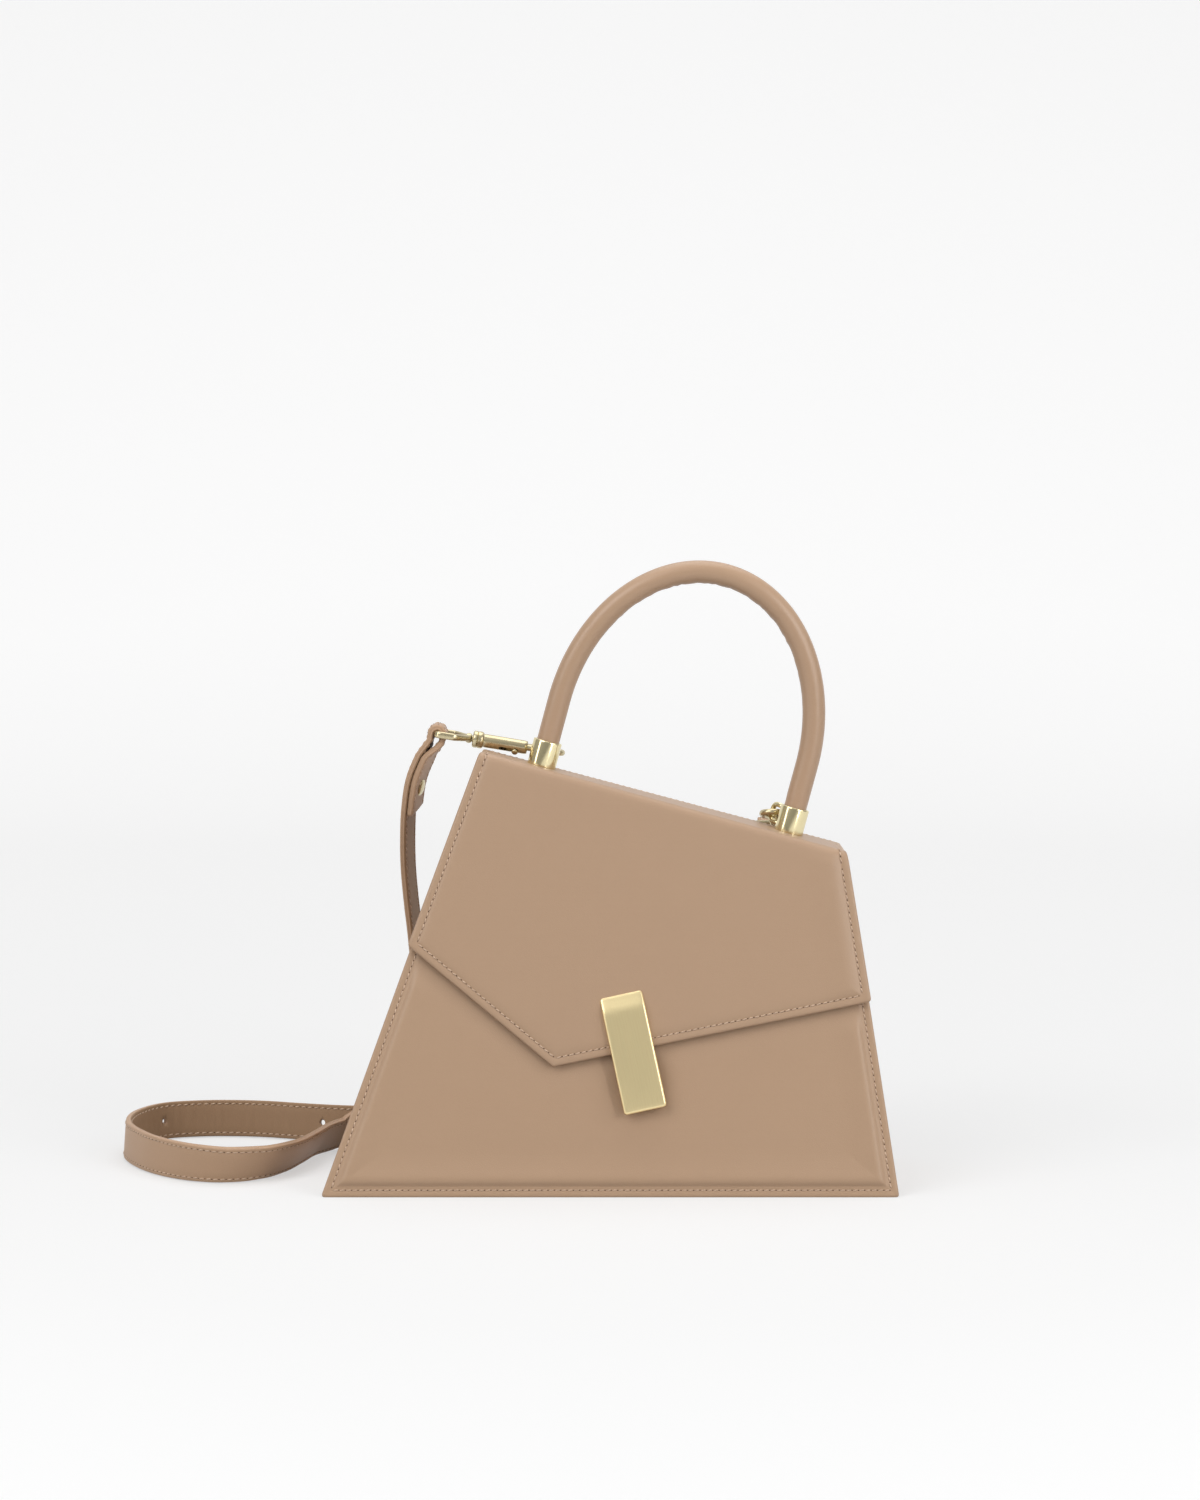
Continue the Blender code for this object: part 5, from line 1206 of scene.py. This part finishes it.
# Behind the plate, a brass cup that holds a magnet, and its mate on the body: a thin washer with
# a magnet in the board behind it. Screws and magnets are nickelled steel.
catch_brass = metal("catch_brass", (0.72, 0.56, 0.32, 1), (0.55, 0.41, 0.22, 1), 0.006, 0.24)
nickel = metal("nickelled_steel", (0.62, 0.61, 0.59, 1), (0.47, 0.46, 0.45, 1), 0.005, 0.26)
for node, look in (("closure_boss", catch_brass), ("receiver_washer", catch_brass), ("flap_magnet", nickel),
                   ("receiver_magnet", nickel), ("closure_screw_lower", nickel), ("closure_screw_upper", nickel)):
    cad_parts[node].material_slots[0].material = look


# The handle: a rope core in a leather tube, closed by a butted seam along the inside of the arch,
# where the leather also puckers a little. Its ends go down into two brass ferrules.

def foot_u(x):
    """How far along the sloped top a foot of the handle stands."""
    return (x - peak_x) / math.cos(tilt)


left_foot_u, right_foot_u = foot_u(-0.0322), foot_u(0.0835)
handle_radius, handle_bore, handle_start, ferrule_top = 0.0053, 0.0040, 0.0046, 0.0128
leg_top, handle_rise, arch_steps, handle_sides = 0.033, 0.076, 96, 40
seam_dip, seam_wide, lip_rise, lip_off, lip_wide = 0.00034, 0.10, 0.00016, 0.22, 0.12
pucker_depth, gather_depth = 0.00020, 0.00022
leg_mid = (ferrule_top + leg_top) / 2
leg = [handle_start, 0.008, ferrule_top - 0.0004, ferrule_top + 0.0006, 0.015, 0.018, leg_mid, 0.028]
arch_mid, arch_half = (left_foot_u + right_foot_u) / 2, (right_foot_u - left_foot_u) / 2
flat = [(left_foot_u, n) for n in leg]
flat += [(arch_mid - arch_half * math.cos(math.pi * k / arch_steps),
          leg_top + handle_rise * math.sin(math.pi * k / arch_steps)) for k in range(arch_steps + 1)]
flat += [(right_foot_u, n) for n in leg[::-1]]
handle_line = [top.at(u, 0, n) for u, n in flat]
arch_heart = top.at(arch_mid, 0, leg_top)
across, rings, inner_rings, gone = Vector((0, 1, 0)), [], [], 0.0
for i, (p, way) in enumerate(zip(handle_line, headings(handle_line))):
    gone += (p - handle_line[i - 1]).length if i else 0.0
    inward = across.cross(way).normalized()
    inward = inward if inward.dot(arch_heart - p) > 0 or i < 10 else -inward
    arch = ease(flat[i][1], 0.05, 0.10)
    neck = 1 - ease(flat[i][1], ferrule_top, ferrule_top + 0.006)
    ring = []
    for k in range(handle_sides):
        a = 2 * math.pi * k / handle_sides
        towards, from_seam = math.cos(a), (a + math.pi) % (2 * math.pi) - math.pi
        seam = -seam_dip * math.exp(-(from_seam / seam_wide) ** 2)
        lips = lip_rise * math.exp(-((abs(from_seam) - lip_off) / lip_wide) ** 2)
        creases = math.sin(gone * 2100.0 + 1.7 * math.sin(gone * 370.0) + 2.0 * math.sin(a))
        pucker = pucker_depth * arch * max(towards, 0) ** 2 * creases
        gather = -gather_depth * neck * (0.5 + 0.5 * math.sin(a * 13.0))
        r = handle_radius + seam + lips + pucker + gather
        ring.append(p + inward * (r * towards) + across * (r * math.sin(a)))
    rings.append(ring)
    inner_rings.append(loop(p, inward, across, handle_bore, handle_sides))
handle_leather = leather("handle_leather", (0.498, 0.328, 0.212, 1), (0.412, 0.262, 0.165, 1),
                         pebble=0.0006, mottle=0.25, roughness=0.23)
handle_tube = skinned("handle_leather_tube", rings + inner_rings[::-1], handle_leather, joined=True)
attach(handle_tube, "bag")
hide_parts("handle_cover")
rope_look = plain("laid_rope", (0.42, 0.34, 0.22, 1), (0.72, 0.63, 0.47, 1), 900.0, 0.9)
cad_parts["handle_core"].material_slots[0].material = rope_look

# The ferrules: turned and polished brass cups, each with a staple behind it for the strap's snap
# hook, and each held down by a screw from inside through a steel strip under the top.
ferrule_brass = metal("ferrule_brass", (0.84, 0.74, 0.46, 1), (0.68, 0.57, 0.32, 1), 0.012, 0.10)
ferrule_profile = [
    (0.0003, 0.0018), (0.0003, 0.00635), (0.0004, 0.00662), (0.0007, 0.00675), (0.0009, 0.00675), (0.0121, 0.00675),
    (0.0125, 0.00668), (0.0127, 0.00652), (0.0128, 0.0063), (0.0128, 0.0058), (0.01265, 0.00562), (0.0124, 0.0056),
    (0.0043, 0.0056), (0.0043, 0), (0.0035, 0), (0.0035, 0.0018)]
staple_wire, staple_reach, staple_low, staple_high, staple_bend = 0.0012, 0.0158, 0.0030, 0.0112, 0.0026
bow = [(0.0060, staple_low), (staple_reach - staple_bend, staple_low)]
bow += [(staple_reach - staple_bend * (1 - math.sin(a)), staple_low + staple_bend * (1 - math.cos(a)))
        for a in (math.radians(15 * k) for k in range(1, 7))]
bow += [(r, staple_low + staple_high - n) for r, n in bow[::-1]]
for end, foot_at, out in (("left", left_foot_u, Vector((0, 1, 0))),
                          ("right", right_foot_u, Vector((-0.54961, 0.82214, 0.14836)))):
    foot_point = top.at(foot_at, 0, 0)
    ferrule = crisp(turned(end + "_ferrule_cup", foot_point, top.n, ferrule_profile, ferrule_brass, 72), 50)
    staple_line = [foot_point + out * r + top.n * n for r, n in bow]
    staple = rod(end + "_staple", staple_line, staple_wire, ferrule_brass, 24)
    staple.parent = ferrule
    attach(ferrule, "bag")
    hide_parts(end + "_ferrule")
for node in ("left_ferrule_screw", "right_ferrule_screw", "handle_backing_plate"):
    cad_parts[node].material_slots[0].material = nickel


# The lining: a plain woven cotton bag, hung inside the boards and cut low at the front, slack
# enough to crease a little; and a flat slip pocket sewn to its back wall.

# Woven cloth: two sets of waves that cross, high where a thread comes up and dark in the gaps.
woven_cloth, given, result, place = effect(
    "woven_cloth",
    (("Colour", (0.45, 0.32, 0.22, 1)), ("Gap Colour", (0.25, 0.17, 0.11, 1)), ("Threads Per Metre", 2200.0)),
    ("Colour", "Height"))
apart = woven_cloth.nodes.new("ShaderNodeSeparateXYZ")
feed(woven_cloth, apart.inputs[0], place)
crossings = []
for way in (maths(woven_cloth, "ADD", apart.outputs["X"], apart.outputs["Y"]), apart.outputs["Z"]):
    wave = maths(woven_cloth, "SINE", maths(woven_cloth, "MULTIPLY", way, given["Threads Per Metre"]))
    crossings.append(maths(woven_cloth, "ABSOLUTE", wave))
over_under = maths(woven_cloth, "MULTIPLY", *crossings)
feed(woven_cloth, result["Colour"], two_shades(woven_cloth, over_under, given["Gap Colour"], given["Colour"]))
feed(woven_cloth, result["Height"], over_under)
cotton, shader = treated("lining_cotton", woven_cloth, (), strength=1.0, lift=0.0001)
shader["Roughness"].default_value = 0.88
shader["Sheen Weight"].default_value = 0.15
cloth, cloth_low, cloth_side, cloth_drop, cloth_crease = 0.0008, 0.0086, 0.0071, 0.0024, 0.0004
wall_cover, wall_columns = 0.0044 / rise, 24


def lining_ring(part, inward, low):
    """One level of the lining: part is how far up it lies, from the floor to the mouth."""
    ring = []
    for side, a, b in (("front", -1, 1), ("right", -1, 1), ("back", 1, -1), ("left", 1, -1)):
        for k in range(wall_columns):
            t = a + (b - a) * (k + 0.5) / wall_columns
            z = low
            for _ in range(30):
                y_at, left_at = half_depth(z) - wall_cover - inward / rise, left_side(z) + cloth_side + inward
                right_at = right_side(z) - cloth_side - inward
                x_at = left_at + (right_at - left_at) * (t + 1) / 2
                x = {"left": left_at, "right": right_at}.get(side, x_at)
                y = {"front": -y_at, "back": y_at}.get(side, y_at * t)
                high = crest(x) - (mouth_drop if side == "front" else cloth_drop)
                z = low + (high - low) * part
            slack = ease(part, 0.0, 0.2) * ease(1 - part, 0.0, 0.1)
            crease = cloth_crease * (1 + math.sin(t * 9.0 + z * 60.0 + len(side))) * slack
            if side in ("front", "back"):
                y -= math.copysign(crease, y)
            else:
                x -= math.copysign(crease + sunk(left_side if side == "left" else right_side, z, t), x)
            ring.append(Vector((x, y, z)))
    return ring


levels = [k / 14 for k in range(15)]
rings = [lining_ring(part, 0.0, cloth_low) for part in levels]
rings += [lining_ring(part, cloth, cloth_low + cloth) for part in levels[::-1]]
lining = crisp(skinned("lining_bag", rings, cotton), 50)
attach(lining, "bag")
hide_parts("lining")
pocket_half, pocket_mid, pocket_low, pocket_high = 0.055, 0.005, 0.070, 0.132
pocket_wall, pocket_deep, pocket_bulge, pocket_rim_bulge = -0.0055 - 0.0003, 0.0027, 0.0010, 0.0004
rings = []
for inside, parts in ((0.0, levels), (cloth, levels[::-1])):
    for part in parts:
        v = pocket_low + inside + (pocket_high - pocket_low - inside) * part
        half = pocket_half - inside
        bulge = pocket_bulge * math.sin(math.pi * min(part, 0.9)) if part < 1 else pocket_rim_bulge
        near = [(-pocket_mid + half * t, pocket_wall - inside) for t in (1, 0.5, 0, -0.5, -1)]
        far = [(-pocket_mid + half * t, pocket_wall - pocket_deep + inside - bulge * (1 - t ** 4))
               for t in (-1, -0.75, -0.5, -0.25, 0, 0.25, 0.5, 0.75, 1)]
        rings.append([back.at(u, v, n) for u, n in near + far])
pocket = crisp(skinned("slip_pocket", rings, cotton), 50)
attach(pocket, "bag")
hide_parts("inner_pocket")

# The stiffeners: board pressed from leather fibre, cut to size and glued between the leather and
# the lining, so that only their edges could ever be seen.
fibre_board = plain("fibre_board", (0.24, 0.165, 0.10, 1), (0.40, 0.30, 0.20, 1), 700.0, 0.85)
for node in ("front_board", "back_board", "base_board", "flap_board"):
    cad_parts[node].material_slots[0].material = fibre_board
